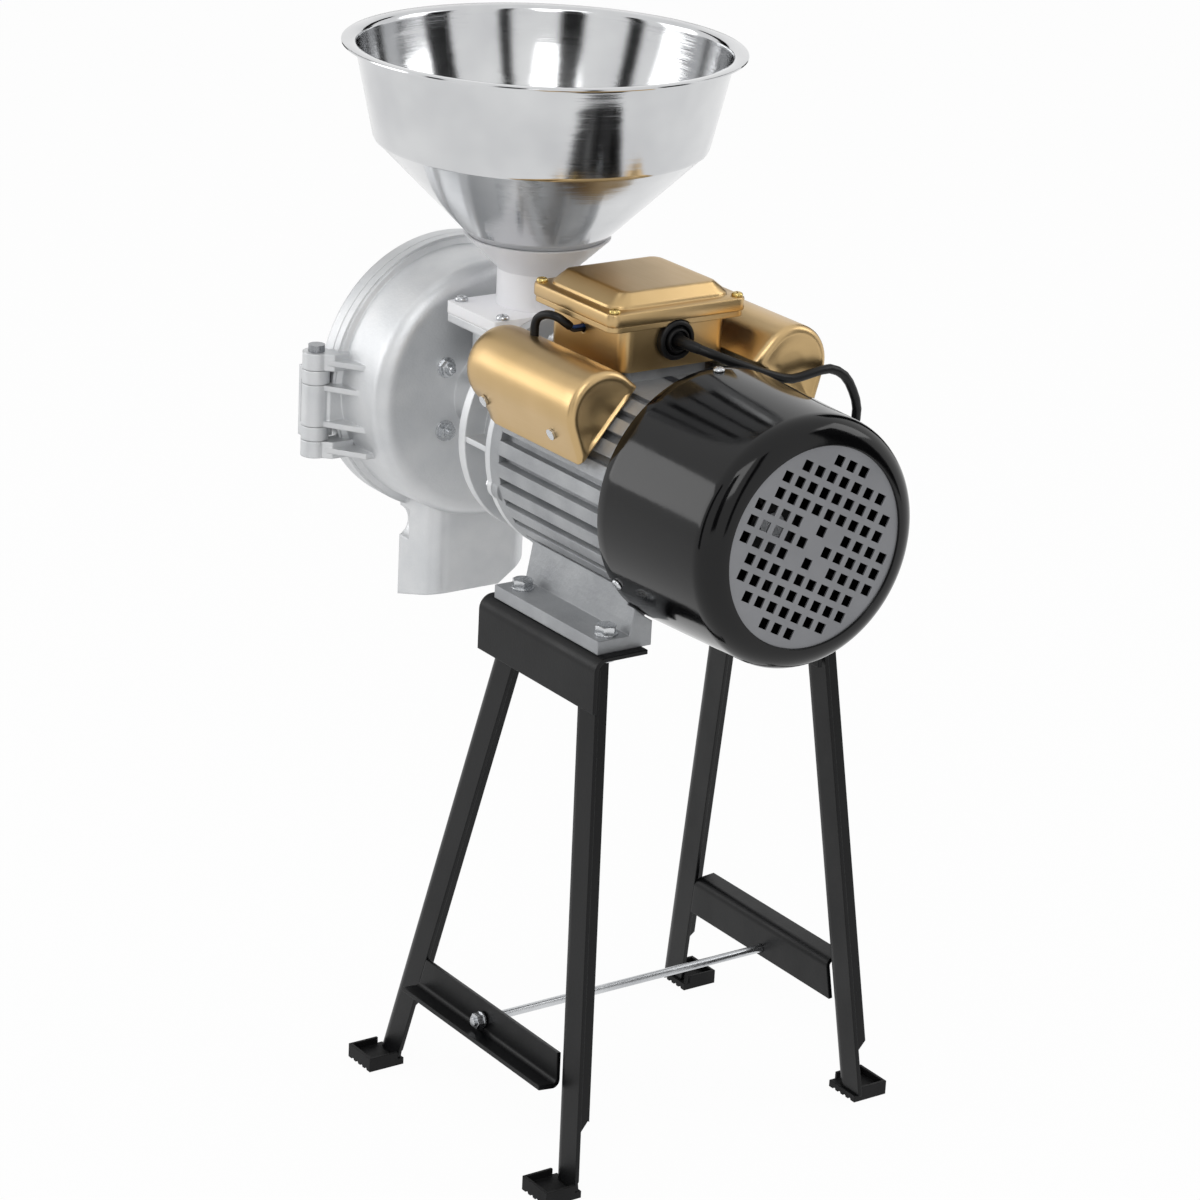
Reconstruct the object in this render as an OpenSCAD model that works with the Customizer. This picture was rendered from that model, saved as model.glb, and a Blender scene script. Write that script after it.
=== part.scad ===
// Electric grain mill: a finned single-phase motor on a folded steel stand drives a disc mill.
// Lengths are millimetres, +Z is up. +X points to the fan end, -X to the mill's door.
// Motor and mill are drawn from the shaft axis: x = 0 is the cowl's front edge, y = z = 0 the axis.

/* [Stand] */
// Height of the rails' top above the floor
stand_height = 364.4; // [330:1:420]
// Distance from the middle to the outer face of a rail's upright flange, at its lower edge
stand_half_width = 95.4; // [92:0.2:104]
// Length of each rail
rail_length = 140.7; // [132:1:170]
// Height of a rail's upright flange
rail_depth = 38.9; // [30:1:50]
// Width of a rail's level flange
rail_width = 42; // [38:1:46]
// Sheet thickness of the rails
rail_sheet = 3; // [2:0.5:4]
// Outer bend radius of the rails
rail_bend = 10; // [6:1:12]
// Width of each flange of a leg
leg_width = 27; // [22:1:32]
// Sheet thickness of the legs
leg_sheet = 3; // [2:0.5:4]
// Outer bend radius of the legs
leg_bend = 10; // [6:1:12]
// Outward splay of the near leg frame
near_splay = 6.6; // [5.6:0.2:8]
// Outward splay of the far leg frame
far_splay = 5; // [4:0.2:6]
// Distance between the two leg tops of a frame
leg_top_spacing = 100; // [90:1:110]
// How far the front legs run forward from rail to floor
front_leg_run = 72; // [40:1:80]
// How far the near rear leg runs back
near_rear_leg_run = 57; // [30:1:60]
// How far the far rear leg runs back
far_rear_leg_run = 38; // [30:1:60]
// Height of the near crossbar's fold above the floor
near_bar_height = 64.7; // [50:1:120]
// Height of the far crossbar's fold above the floor
far_bar_height = 98.7; // [80:1:130]
// Height of the near crossbar's upright web
near_bar_web = 24; // [18:1:30]
// Height of the far crossbar's upright web
far_bar_web = 30; // [20:1:34]
// Width of a crossbar's level flange
bar_flange = 17; // [12:1:24]
// Sheet thickness of the crossbars
bar_sheet = 3; // [2:0.5:4]
// Diameter of the tie rod
tie_rod_d = 6; // [5:0.5:8]
// Height of the tie rod above the floor
tie_rod_height = 75.6; // [75:0.1:80]
// Length of a foot pad along the mill
pad_length = 29.4; // [28:0.1:34]
// Depth of a foot pad across the mill
pad_depth = 23.3; // [20:0.1:30]
// Height of a foot pad
pad_height = 10.3; // [8:0.1:14]
// Wall of a foot pad
pad_wall = 2; // [1.6:0.1:2.6]
// Thickness of a foot pad's sole
pad_sole = 5; // [4:0.1:6]

/* [Motor] */
// Shaft height above the rails
shaft_height = 95.3; // [94.5:0.1:110]
// Distance between a foot's two bolts
foot_bolt_spacing = 100; // [90:1:106]
// Distance between the near and far foot bolts
foot_bolt_gauge = 152; // [148:1:154]
// Diameter of the foot bolts
foot_bolt_d = 8; // [6:1:9]
// Length of a motor foot
foot_length = 124.6; // [120:1:134]
// Thickness of a motor foot
foot_thickness = 9.3; // [7:0.1:10]
// Distance between the outer edges of the two feet
foot_span = 178.2; // [174:1:184]
// Radius of the frame at the root of its fins
frame_r = 76; // [75:0.5:77]
// Height of the cooling fins
fin_height = 7; // [4:0.5:8]
// Width of a cooling fin
fin_width = 10; // [6:0.5:11]
// Number of fin places round the frame
fin_count = 32; // [28:2:34]
// Length of the finned frame
frame_length = 121; // [116:1:132]
// Radius of the stator core
stator_r = 68; // [62:0.5:70]
// Length of the stator core
stator_length = 70; // [50:1:76]
// Radius of the rotor core
rotor_r = 41; // [34:0.5:46]
// Radius of the cowl at its front edge
cowl_r = 89.6; // [88:0.2:92]
// Length of the cowl
cowl_length = 118; // [112:1:130]
// How much the cowl's radius shrinks to its rear
cowl_taper = 3.4; // [1:0.2:5]
// Radius of the round rear edge of the cowl
cowl_round = 17; // [10:1:19]
// Sheet thickness of the cowl
cowl_sheet = 1.4; // [1:0.1:2]
// Radius of the grille disc
grille_r = 68.4; // [66:0.2:69]
// Distance between the square holes of the grille
grille_pitch = 11.5; // [10:0.1:12]
// Width of a square hole of the grille
grille_hole = 7.1; // [5:0.1:8]
// Turn of the grille's rows from level
grille_turn = 27.3; // [0:0.1:45]
// Diameter of the motor shaft in its bearings
shaft_d = 20; // [17:0.5:22]

/* [Terminal box and capacitors] */
// Length of the terminal box along the motor
box_length = 88; // [80:1:94]
// Width of the terminal box
box_width = 84; // [70:1:90]
// Height of the terminal box up to its lid
box_height = 34; // [30:1:40]
// Length of the lid
lid_length = 98; // [97:1:104]
// Width of the lid
lid_width = 112; // [102:1:116]
// Height of the lid's edge
lid_edge = 9; // [6:0.5:12]
// Height of the lid's raised middle above its edge
lid_crown = 10; // [6:0.5:14]
// Diameter of the cable gland's nut
gland_d = 28; // [20:1:29]
// Radius of the capacitor covers
cover_r = 28; // [27:0.5:30]
// Length of the capacitor covers
cover_length = 136; // [120:1:140]
// Diameter of the capacitors
capacitor_d = 36; // [30:1:37]
// Length of the capacitors
capacitor_length = 92; // [70:1:100]

/* [Mill] */
// Radius of the housing's open rim
rim_r = 102.5; // [100:0.5:106]
// Radius of the drum at its back edge
drum_r = 95.3; // [93:0.1:97]
// Depth of the drum from its rim to its back face
drum_depth = 59.4; // [56:0.2:66]
// Wall of the casting
casting_wall = 7; // [5:0.5:8]
// Length of the feed throat between drum and bell
throat_length = 79; // [76:1:90]
// Length of the bell that joins the mill to the motor
bell_length = 43; // [40:1:54]
// Radius of the bell
bell_r = 80; // [78:0.5:82]
// Radius of the feed bore
feed_bore_r = 26; // [24:0.5:27]
// Depth of the spout's mouth below the shaft
spout_drop = 154; // [145:1:165]
// Width of the spout
spout_width = 84; // [76:1:90]
// Radius of the grinding discs
burr_r = 75; // [70:0.5:80]
// Thickness of each grinding disc
burr_thickness = 10; // [8:0.5:12]
// Gap between the grinding discs at rest
burr_gap = 1.5; // [1.2:0.1:2]
// Number of furrows cut in a grinding disc
furrow_count = 24; // [16:2:30]
// Thickness of the door's rim
door_thickness = 10; // [8:0.5:12]
// Diameter of the hinge pin
hinge_pin_d = 8; // [6:0.5:9]
// Outer radius of the hinge knuckles
knuckle_r = 10; // [9:0.5:10.5]
// Diameter of the adjusting screw
screw_d = 12; // [10:0.5:14]
// Pitch of the adjusting screw's thread
screw_pitch = 1.75; // [1.25:0.25:2]
// Diameter of the adjusting knob
knob_d = 60; // [50:1:70]

/* [Hopper] */
// Outer diameter of the hopper's lip
lip_d = 280; // [270:1:290]
// Inner diameter of the hopper's mouth
mouth_d = 260; // [252:1:262]
// Radius of the hopper where its wall meets its cone
cone_r = 116.5; // [112:0.5:120]
// Height of the hopper's wall
wall_height = 67; // [56:1:80]
// Height of the hopper's cone above the cup
cone_height = 67; // [56:1:80]
// Sheet thickness of the hopper
hopper_sheet = 1; // [0.8:0.1:1.5]
// Outer diameter of the cup's neck
neck_d = 54; // [52:1:56]
// Wall of the cup
cup_wall = 3; // [2:0.5:4]
// Radius of the cup's rim
cup_r = 51.6; // [50:0.2:54]
// Height of the cup's rim above its plate
cup_height = 49.7; // [46:0.5:54]

/* [Cord] */
// Diameter of the mains cord
cord_d = 6.6; // [6:0.1:6.8]
// Diameter of the capacitor's lead
lead_d = 6; // [5:0.1:6.4]

/* [Hidden] */
$fn = 96;

// Shared clearances
overrun = 1;
slide_gap = 0.3;
running_gap = 0.05;
seat_gap = 0.1;
soft_fn = 32;

// Places along the shaft, from the cowl's front edge
frame_rear_x = -8;
frame_front_x = frame_rear_x - frame_length;
front_shield_flange = 11;
shield_front_x = frame_front_x - front_shield_flange;
bell_front_x = shield_front_x - bell_length;
drum_back_x = bell_front_x - throat_length;
mill_front_x = drum_back_x - drum_depth;
door_back_x = mill_front_x - slide_gap;
door_front_x = door_back_x - door_thickness;
door_boss_length = 20;
boss_front_x = door_front_x - door_boss_length;
knob_back_x = boss_front_x - 6 * overrun;
knob_length = 24;
knob_front_x = knob_back_x - knob_length;
shaft_axis_z = stand_height + shaft_height;
middle_x = (cowl_length + knob_front_x) / 2;
foot_mid_x = -52.5;

// Foot and rail places
foot_top_z = foot_thickness - shaft_height;
foot_mid_length_x = -54.5;
foot_web = 9;
foot_inner_y = 46;
rail_mid_x = -55.45;

module on_shaft() translate([-middle_x, 0, shaft_axis_z]) children();
module on_floor() translate([-middle_x, 0, 0]) children();
module along_x(x) translate([x, 0, 0]) rotate([0, 90, 0]) children();
module mirrored_y() {
    children();
    mirror([0, 1, 0]) children();
}
module tube(r_out, r_in, h) {
    difference() {
        cylinder(r = r_out, h = h);
        translate([0, 0, -overrun]) cylinder(r = r_in, h = h + 2 * overrun);
    }
}
module rounded_rect(w, d, r) {
    square([w - 2 * r, d], center = true);
    square([w, d - 2 * r], center = true);
    for (sx = [-1, 1], sy = [-1, 1])
        translate([sx * (w / 2 - r), sy * (d / 2 - r)]) circle(r = r);
}
module rounded_block(w, d, h, r) linear_extrude(h) rounded_rect(w, d, r);
module hex_head(across, h) cylinder(d = across / cos(30), h = h, $fn = 6);

// A folded angle: one flange along +X, one along +Y, heel at the origin
module angle_section(width_x, width_y, sheet, bend) {
    translate([bend, 0]) square([width_x - bend, sheet]);
    translate([0, bend]) square([sheet, width_y - bend]);
    intersection() {
        translate([bend, bend]) difference() {
            circle(r = bend);
            circle(r = bend - sheet);
        }
        square([bend, bend]);
    }
}

// Stand
hang_z = stand_height - rail_depth;
leg_reach = stand_height * 2;
leg_front_top_x = foot_mid_x + 1.5 * overrun - leg_top_spacing / 2 - leg_width / 2;
leg_rear_top_x = leg_front_top_x + leg_top_spacing;

module rail() {
    translate([rail_mid_x - rail_length / 2, -stand_half_width, stand_height]) rotate([90, 0, 90])
        linear_extrude(rail_length) mirror([0, 1])
            angle_section(rail_width, rail_depth, rail_sheet, rail_bend);
}
module rail_holes() {
    for (side = [-1, 1])
        translate([foot_mid_x + side * foot_bolt_spacing / 2, -foot_bolt_gauge / 2, hang_z])
            cylinder(d = foot_bolt_d + 2 * slide_gap, h = shaft_axis_z);
}
module drilled_rail() {
    difference() {
        rail();
        rail_holes();
    }
}
module near_rail() color("#17181a") on_floor() drilled_rail();
module far_rail() color("#17181a") on_floor() mirror([0, 1, 0]) drilled_rail();

// The near legs stand inside the near rail's flange, the far legs outside the far rail's
near_leg_y = rail_sheet - stand_half_width + slide_gap;
far_leg_y = stand_half_width + slide_gap;
far_hinge_z = stand_height - rail_bend;
module near_frame() translate([0, near_leg_y, hang_z]) rotate([-near_splay, 0, 0]) children();
module far_frame() translate([0, far_leg_y, far_hinge_z]) rotate([far_splay, 0, 0]) children();
function lean(run) = atan(run / hang_z);

module leg_bar(top_x, angle) {
    translate([top_x, 0, 0]) rotate([0, angle, 0]) translate([0, 0, -leg_reach / 2])
        linear_extrude(leg_reach) angle_section(leg_width, leg_width, leg_sheet, leg_bend);
}
module leg_slab(top_z) {
    translate([-leg_reach, -leg_reach, pad_sole + seat_gap])
        cube([2 * leg_reach, 2 * leg_reach, top_z - pad_sole - seat_gap]);
}
// The lower corner of the flange that points across is cut off at a slant
module slant_cut(inner_y) {
    translate([-leg_reach, inner_y, 0]) rotate([90, 0, 90]) linear_extrude(2 * leg_reach)
        polygon([[0, 0], [0, pad_height + slide_gap], [leg_width, pad_height + leg_width], [leg_width * 2, 0]]);
}
module near_leg(top_x, angle) {
    difference() {
        intersection() {
            near_frame() leg_bar(top_x, angle);
            leg_slab(stand_height - rail_bend);
        }
        slant_cut(near_foot_y + leg_sheet);
    }
}
module far_leg(top_x, angle) {
    difference() {
        intersection() {
            far_frame() leg_bar(top_x, angle);
            leg_slab(stand_height - rail_bend);
        }
        slant_cut(far_foot_y + leg_sheet);
    }
}
module near_front_leg() color("#17181a") on_floor() near_leg(leg_front_top_x, lean(front_leg_run));
module near_rear_leg() color("#17181a") on_floor() near_leg(leg_rear_top_x, -lean(near_rear_leg_run));
module far_front_leg() color("#17181a") on_floor() far_leg(leg_front_top_x, lean(front_leg_run));
module far_rear_leg() color("#17181a") on_floor() far_leg(leg_rear_top_x, -lean(far_rear_leg_run));

// A crossbar butts on the front leg's free edge and on the rear leg's heel
module between_legs(front_angle, rear_angle) {
    intersection() {
        children();
        translate([leg_front_top_x, 0, 0]) rotate([0, front_angle, 0])
            translate([leg_width + seat_gap, -leg_reach, -leg_reach])
                cube([leg_reach, 2 * leg_reach, 2 * leg_reach]);
        translate([leg_rear_top_x, 0, 0]) rotate([0, rear_angle, 0])
            translate([-leg_reach - seat_gap, -leg_reach, -leg_reach])
                cube([leg_reach, 2 * leg_reach, 2 * leg_reach]);
    }
}
module bar(web) {
    translate([-leg_reach, 0, 0]) rotate([90, 0, 90])
        linear_extrude(2 * leg_reach) angle_section(bar_flange, web, bar_sheet, bar_sheet * 2);
}
module rod_hole() {
    translate([tie_rod_x, -leg_reach, tie_rod_height]) rotate([-90, 0, 0])
        cylinder(d = tie_rod_d + 2 * slide_gap, h = 2 * leg_reach);
}
tie_rod_x = foot_mid_x - 9.5 * overrun;
near_bar_drop = (hang_z - near_bar_height) / cos(near_splay);
far_bar_drop = (far_hinge_z - far_bar_height) / cos(far_splay);
module near_crossbar() {
    color("#17181a") on_floor() difference() {
        near_frame() between_legs(lean(front_leg_run), -lean(near_rear_leg_run))
            translate([0, leg_sheet, -near_bar_drop]) mirror([0, 1, 0]) bar(near_bar_web);
        rod_hole();
    }
}
module far_crossbar() {
    color("#17181a") on_floor() difference() {
        far_frame() between_legs(lean(front_leg_run), -lean(far_rear_leg_run))
            translate([0, 0, -far_bar_drop]) mirror([0, 0, 1]) bar(far_bar_web);
        rod_hole();
    }
}

// Foot pads: cups with a grooved sole, open towards the leg that stands on the sole's tongue
near_foot_y = near_leg_y - tan(near_splay) * (hang_z - pad_sole);
far_foot_y = far_leg_y + tan(far_splay) * (far_hinge_z - pad_sole);
pad_groove = 1.6;
groove_count = 4;
pad_tongue = leg_sheet + pad_wall;
module pad() {
    difference() {
        union() {
            translate([-pad_length / 2, 0, 0]) cube([pad_length, pad_depth, pad_height]);
            translate([-pad_length / 2, -pad_tongue, 0])
                cube([pad_length, pad_tongue + overrun, pad_sole]);
        }
        translate([pad_wall - pad_length / 2, -overrun, pad_sole])
            cube([pad_length - 2 * pad_wall, pad_depth - pad_wall + overrun, pad_height]);
        for (i = [1 : groove_count])
            translate([(i / (groove_count + 1) - 0.5) * pad_length, -pad_tongue - overrun, 0])
                rotate([-90, 0, 0])
                    cylinder(r = pad_groove, h = pad_depth + pad_tongue + 2 * overrun, $fn = 8);
    }
}
function foot_x(top_x, run) = top_x + leg_width / 2 + run * (hang_z - pad_sole) / hang_z;
module foot_pads() {
    color("#141415") on_floor() {
        translate([foot_x(leg_front_top_x, -front_leg_run), near_foot_y - seat_gap, 0])
            mirror([0, 1, 0]) pad();
        translate([foot_x(leg_rear_top_x, near_rear_leg_run), near_foot_y - seat_gap, 0])
            mirror([0, 1, 0]) pad();
        translate([foot_x(leg_front_top_x, -front_leg_run), far_foot_y + leg_sheet + seat_gap, 0])
            pad();
        translate([foot_x(leg_rear_top_x, far_rear_leg_run), far_foot_y + leg_sheet + seat_gap, 0])
            pad();
    }
}

// Tie rod between the crossbars, with a nut and washer on each end
nut_h = 5;
washer_h = 1.4;
nut_across = 10;
washer_r = 6;
rod_near_face = near_leg_y - (hang_z - tie_rod_height) * tan(near_splay);
rod_far_face = far_leg_y + (far_hinge_z - tie_rod_height) * tan(far_splay);
rod_stub = nut_h * 1.8;
module on_rod(y) translate([tie_rod_x, y, tie_rod_height]) rotate([-90, 0, 0]) children();
module tie_rod() color("#b9bcc0") on_floor() on_rod(rod_near_face - rod_stub)
    cylinder(d = tie_rod_d, h = rod_far_face - rod_near_face + 2 * rod_stub);
module tie_nut() {
    difference() {
        union() {
            hex_head(nut_across, nut_h);
            translate([0, 0, nut_h]) cylinder(r = washer_r, h = washer_h);
        }
        translate([0, 0, -overrun]) cylinder(r = tie_rod_d / 2 + running_gap, h = nut_h * 3);
    }
}
module tie_rod_nuts() {
    color("#c4c6c8") on_floor() {
        on_rod(rod_near_face - nut_h - washer_h - washer_r * tan(near_splay) - seat_gap) tie_nut();
        on_rod(rod_far_face + leg_sheet + nut_h + washer_h + washer_r * tan(far_splay) + seat_gap)
            mirror([0, 0, 1]) tie_nut();
    }
}

// Motor feet, cut away round the frame and the cowl
foot_outer_y = foot_span / 2;
frame_tip_r = frame_r + fin_height;
foot_rise_share = 0.5;
module foot_profile() {
    translate([foot_inner_y, -shaft_height]) square([foot_outer_y - foot_inner_y, foot_thickness]);
    polygon([[foot_inner_y, -shaft_height], [foot_inner_y, -frame_r * foot_rise_share],
        [foot_inner_y + foot_web, -frame_r * foot_rise_share],
        [foot_inner_y + foot_web * 2, foot_top_z], [foot_inner_y + foot_web * 2, -shaft_height]]);
}
module motor_foot() {
    difference() {
        translate([foot_mid_length_x - foot_length / 2, 0, 0]) rotate([90, 0, 90])
            linear_extrude(foot_length) foot_profile();
        along_x(-2 * foot_length) cylinder(r = frame_tip_r + seat_gap, h = 4 * foot_length);
        along_x(-overrun) cylinder(r = cowl_r + overrun, h = foot_length);
        for (side = [-1, 1])
            translate([foot_mid_x + side * foot_bolt_spacing / 2, foot_bolt_gauge / 2, -shaft_axis_z])
                cylinder(d = foot_bolt_d + 2 * slide_gap, h = shaft_axis_z);
    }
}
module motor_feet() color("#9d9fa2") on_shaft() mirrored_y() motor_foot();

bolt_head_h = 5.5;
bolt_across = 13;
module at_foot_bolts() {
    mirrored_y() for (side = [-1, 1])
        translate([foot_mid_x + side * foot_bolt_spacing / 2, foot_bolt_gauge / 2, 0]) children();
}
bolt_stack = foot_thickness + rail_sheet;
foot_nut_z = -shaft_height - rail_sheet;
bolt_tail = 6.5;
module foot_bolts() {
    color("#c4c6c8") on_shaft() at_foot_bolts() translate([0, 0, foot_top_z]) {
        cylinder(r = bolt_across * 0.62, h = washer_h);
        translate([0, 0, washer_h]) hex_head(bolt_across, bolt_head_h);
        translate([0, 0, -bolt_stack - bolt_tail]) cylinder(d = foot_bolt_d, h = bolt_stack + bolt_tail);
    }
}
module foot_nuts() {
    color("#c4c6c8") on_shaft() at_foot_bolts() difference() {
        translate([0, 0, foot_nut_z - nut_h - overrun]) hex_head(bolt_across, nut_h + overrun);
        translate([0, 0, foot_nut_z - nut_h * 2]) cylinder(d = foot_bolt_d + 2 * running_gap, h = nut_h * 3);
    }
}

// Motor frame: ribbed tube with a flat seat for the terminal box
box_floor_z = frame_r + overrun;
box_mid_x = -90;
seat_length = 74;
seat_corner = 5;
fin_pitch = 360 / fin_count;
module frame_section() {
    circle(r = frame_r);
    intersection() {
        circle(r = frame_tip_r);
        for (i = [0 : fin_count - 1]) rotate(i * fin_pitch + fin_pitch / 2)
            translate([frame_r - overrun, -fin_width / 2]) square([2 * fin_height, fin_width]);
    }
}
module motor_frame() {
    color("#a3a5a8") on_shaft() difference() {
        union() {
            difference() {
                along_x(frame_front_x) linear_extrude(frame_length) frame_section();
                translate([box_mid_x - box_length, -box_width / 2 - 2 * overrun, stator_r])
                    cube([2 * box_length, box_width + 4 * overrun, frame_r]);
            }
            translate([box_mid_x, 0, stator_r / 2])
                rounded_block(seat_length, box_width * 0.8, box_floor_z - stator_r / 2, seat_corner);
        }
        along_x(frame_front_x - overrun) cylinder(r = stator_r + seat_gap, h = frame_length + 2 * overrun);
    }
}
frame_mid_x = (frame_front_x + frame_rear_x) / 2;
rotor_air_gap = 0.5;
module stator_core() {
    color("#6d7076") on_shaft() along_x(frame_mid_x - stator_length / 2)
        tube(stator_r, rotor_r + rotor_air_gap, stator_length);
}
winding_length = 16;
module winding() {
    rotate_extrude() translate([(rotor_r + stator_r) / 2 + overrun, winding_length / 2])
        rounded_rect(stator_r - rotor_r - 8 * overrun, winding_length, overrun * 4);
}
module stator_windings() {
    color("#b0622c") on_shaft() {
        along_x(frame_mid_x - stator_length / 2 - winding_length - seat_gap) winding();
        along_x(frame_mid_x + stator_length / 2 + seat_gap) winding();
    }
}

// Bearings and end shields
bearing_r = 23.5;
bearing_width = 14;
shaft_r = shaft_d / 2;
shield_r = 82;
shield_boss_r = 31;
shield_plate = 8;
front_bearing_x = shield_front_x + overrun * 3;
rear_bearing_x = frame_rear_x + overrun * 4;
module bearing() {
    rotate_extrude() {
        translate([shaft_r + running_gap, 0]) square([4 * overrun, bearing_width]);
        translate([bearing_r - 4 * overrun, 0]) square([4 * overrun, bearing_width]);
        translate([shaft_r + 3 * overrun, bearing_width / 4])
            square([bearing_r - shaft_r - 6 * overrun, bearing_width / 2]);
    }
}
module shaft_bearings() {
    color("#c9cbce") on_shaft() {
        along_x(front_bearing_x) bearing();
        along_x(rear_bearing_x) bearing();
    }
}
lug_r = 10;
lug_ring_r = 74;
lug_step = 0.6;
lug_turn = 19.3;
lug_reach_r = lug_ring_r + lug_r;
bell_bolt_d = 8;
module bell_bolt_places(x) {
    for (i = [0 : 3]) translate([x, 0, 0]) rotate([lug_turn + 90 * i, 0, 0]) rotate([0, 90, 0])
        translate([0, lug_ring_r, 0]) children();
}
module front_end_shield() {
    color("#9a9c9f") on_shaft() difference() {
        union() {
            along_x(shield_front_x) rotate_extrude() polygon([[0, 0], [shield_r, 0],
                [shield_r, front_shield_flange], [stator_r - 2 * overrun, front_shield_flange],
                [stator_r - 2 * overrun, shield_plate], [shield_boss_r, shield_plate],
                [shield_boss_r, bearing_width + 5 * overrun], [0, bearing_width + 5 * overrun]]);
            bell_bolt_places(shield_front_x + lug_step) cylinder(r = lug_r, h = shield_plate - 2 * lug_step);
        }
        translate([shield_front_x - overrun, -box_width / 2, box_floor_z])
            cube([bell_length, box_width, shield_r]);
        along_x(front_bearing_x) cylinder(r = bearing_r + running_gap, h = bearing_width * 2);
        along_x(shield_front_x - overrun) cylinder(r = shaft_r + overrun, h = bearing_width);
        bell_bolt_places(shield_front_x - overrun)
            cylinder(d = bell_bolt_d + 2 * running_gap, h = front_shield_flange + 2 * overrun);
    }
}
cowl_screw_d = 4;
cowl_screw_turn = 2;
cowl_screw_count = 3;
cowl_screw_x = 8;
cowl_lug_r = 6;
function cowl_wall_r(x) = cowl_r - cowl_taper * x / (cowl_length - cowl_round);
module at_cowl_screws(r) {
    for (i = [0 : cowl_screw_count - 1]) rotate([cowl_screw_turn + i * 360 / cowl_screw_count, 0, 0])
        translate([cowl_screw_x, 0, r]) children();
}
module rear_end_shield() {
    color("#9a9c9f") on_shaft() difference() {
        union() {
            along_x(frame_rear_x) cylinder(r = shield_r, h = shield_plate);
            along_x(frame_rear_x) cylinder(r = shield_boss_r, h = bearing_width + 5 * overrun);
            intersection() {
                at_cowl_screws(shield_r - 3 * cowl_lug_r) {
                    cylinder(r = cowl_lug_r, h = cowl_r);
                    translate([frame_rear_x + shield_plate / 2 - cowl_screw_x, -cowl_lug_r, 0])
                        cube([cowl_screw_x - frame_rear_x - shield_plate / 2, 2 * cowl_lug_r, cowl_r]);
                }
                along_x(frame_rear_x) cylinder(r = cowl_wall_r(2 * cowl_screw_x) - cowl_sheet - seat_gap,
                    h = cowl_length);
            }
        }
        along_x(frame_rear_x - overrun) cylinder(r = core_shaft_r + overrun, h = bearing_width * 2);
        along_x(rear_bearing_x) cylinder(r = bearing_r + running_gap, h = bearing_width * 2);
        at_cowl_screws(shield_r - cowl_lug_r) cylinder(d = cowl_screw_d + 2 * running_gap, h = cowl_r);
    }
}
seal_r = 18;
seal_width = 7;
module shaft_seal() {
    color("#1b1b1c") on_shaft() along_x(bell_front_x + overrun) tube(seal_r, shaft_r + running_gap, seal_width);
}

// Shaft, rotor and fan turn together
fan_x = 44;
fan_length = 26;
fan_r = 72;
fan_blades = 7;
blade_sheet = 2.4;
fan_hub_r = 18;
shaft_rear_x = fan_x + fan_length + 2 * overrun;
core_shaft_r = 13;
fixed_burr_x = drum_back_x - casting_wall;
moving_face_x = fixed_burr_x - burr_thickness - burr_gap;
hub_length = 12;
hub_r = 20;
moving_nose_x = moving_face_x - burr_thickness - hub_length;
shaft_front_x = moving_nose_x + overrun * 8;
module motor_shaft() {
    color("#b7babd") on_shaft() {
        along_x(shaft_front_x) cylinder(r = shaft_r, h = shaft_rear_x - shaft_front_x);
        along_x(front_bearing_x + bearing_width + seat_gap)
            cylinder(r = core_shaft_r, h = rear_bearing_x - front_bearing_x - bearing_width - 2 * seat_gap);
    }
}
module rotor_core() {
    color("#7b7e83") on_shaft() along_x(frame_mid_x - stator_length / 2)
        tube(rotor_r, core_shaft_r + running_gap, stator_length);
}
governor_r = 30;
governor_length = 10;
governor_x = frame_mid_x + stator_length / 2 + overrun;
module governor() {
    color("#d8d2c2") on_shaft() along_x(governor_x) {
        tube(governor_r - 5 * overrun, core_shaft_r + running_gap, governor_length - 2 * overrun);
        translate([0, 0, governor_length - 2 * overrun])
            tube(governor_r, core_shaft_r + running_gap, 2 * overrun);
    }
}
module contact_plate() {
    color("#3b2f24") on_shaft() along_x(frame_rear_x - 3 * overrun - seat_gap)
        tube(stator_r - 6 * overrun, shield_boss_r + 2 * overrun, 3 * overrun);
}
module cooling_fan() {
    color("#2a2b2d") on_shaft() along_x(fan_x) difference() {
        union() {
            cylinder(r = fan_hub_r, h = fan_length + overrun);
            cylinder(r = fan_r, h = blade_sheet);
            for (i = [0 : fan_blades - 1]) rotate(i * 360 / fan_blades)
                translate([fan_hub_r - overrun, -blade_sheet / 2, blade_sheet / 2])
                    cube([fan_r - fan_hub_r, blade_sheet, fan_length - blade_sheet / 2]);
        }
        translate([0, 0, -overrun]) cylinder(r = shaft_r + running_gap, h = fan_length + 3 * overrun);
    }
}

// Cowl, its grille and its screws
grille_sheet = 1.2;
grille_lip = 2.4;
cowl_rear_r = cowl_r - cowl_taper;
module cowl_profile(inset, front) {
    polygon([[0, front], [cowl_wall_r(front) - inset, front],
        [cowl_rear_r - inset, cowl_length - cowl_round],
        [cowl_rear_r - cowl_round, cowl_length - cowl_round],
        [cowl_rear_r - cowl_round, cowl_length - inset], [0, cowl_length - inset]]);
    translate([cowl_rear_r - cowl_round, cowl_length - cowl_round]) intersection() {
        circle(r = cowl_round - inset);
        square([cowl_round, cowl_round]);
    }
}
module fan_cowl() {
    color("#0d0d0f") on_shaft() difference() {
        along_x(0) rotate_extrude() difference() {
            cowl_profile(0, 0);
            cowl_profile(cowl_sheet, -overrun);
            square([grille_r - grille_lip, 2 * cowl_length]);
            translate([0, cowl_length - cowl_sheet / 2]) square([grille_r + seat_gap, cowl_round]);
        }
        at_cowl_screws(cowl_r - lug_r) cylinder(d = cowl_screw_d + 2 * slide_gap, h = cowl_r);
    }
}
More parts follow.
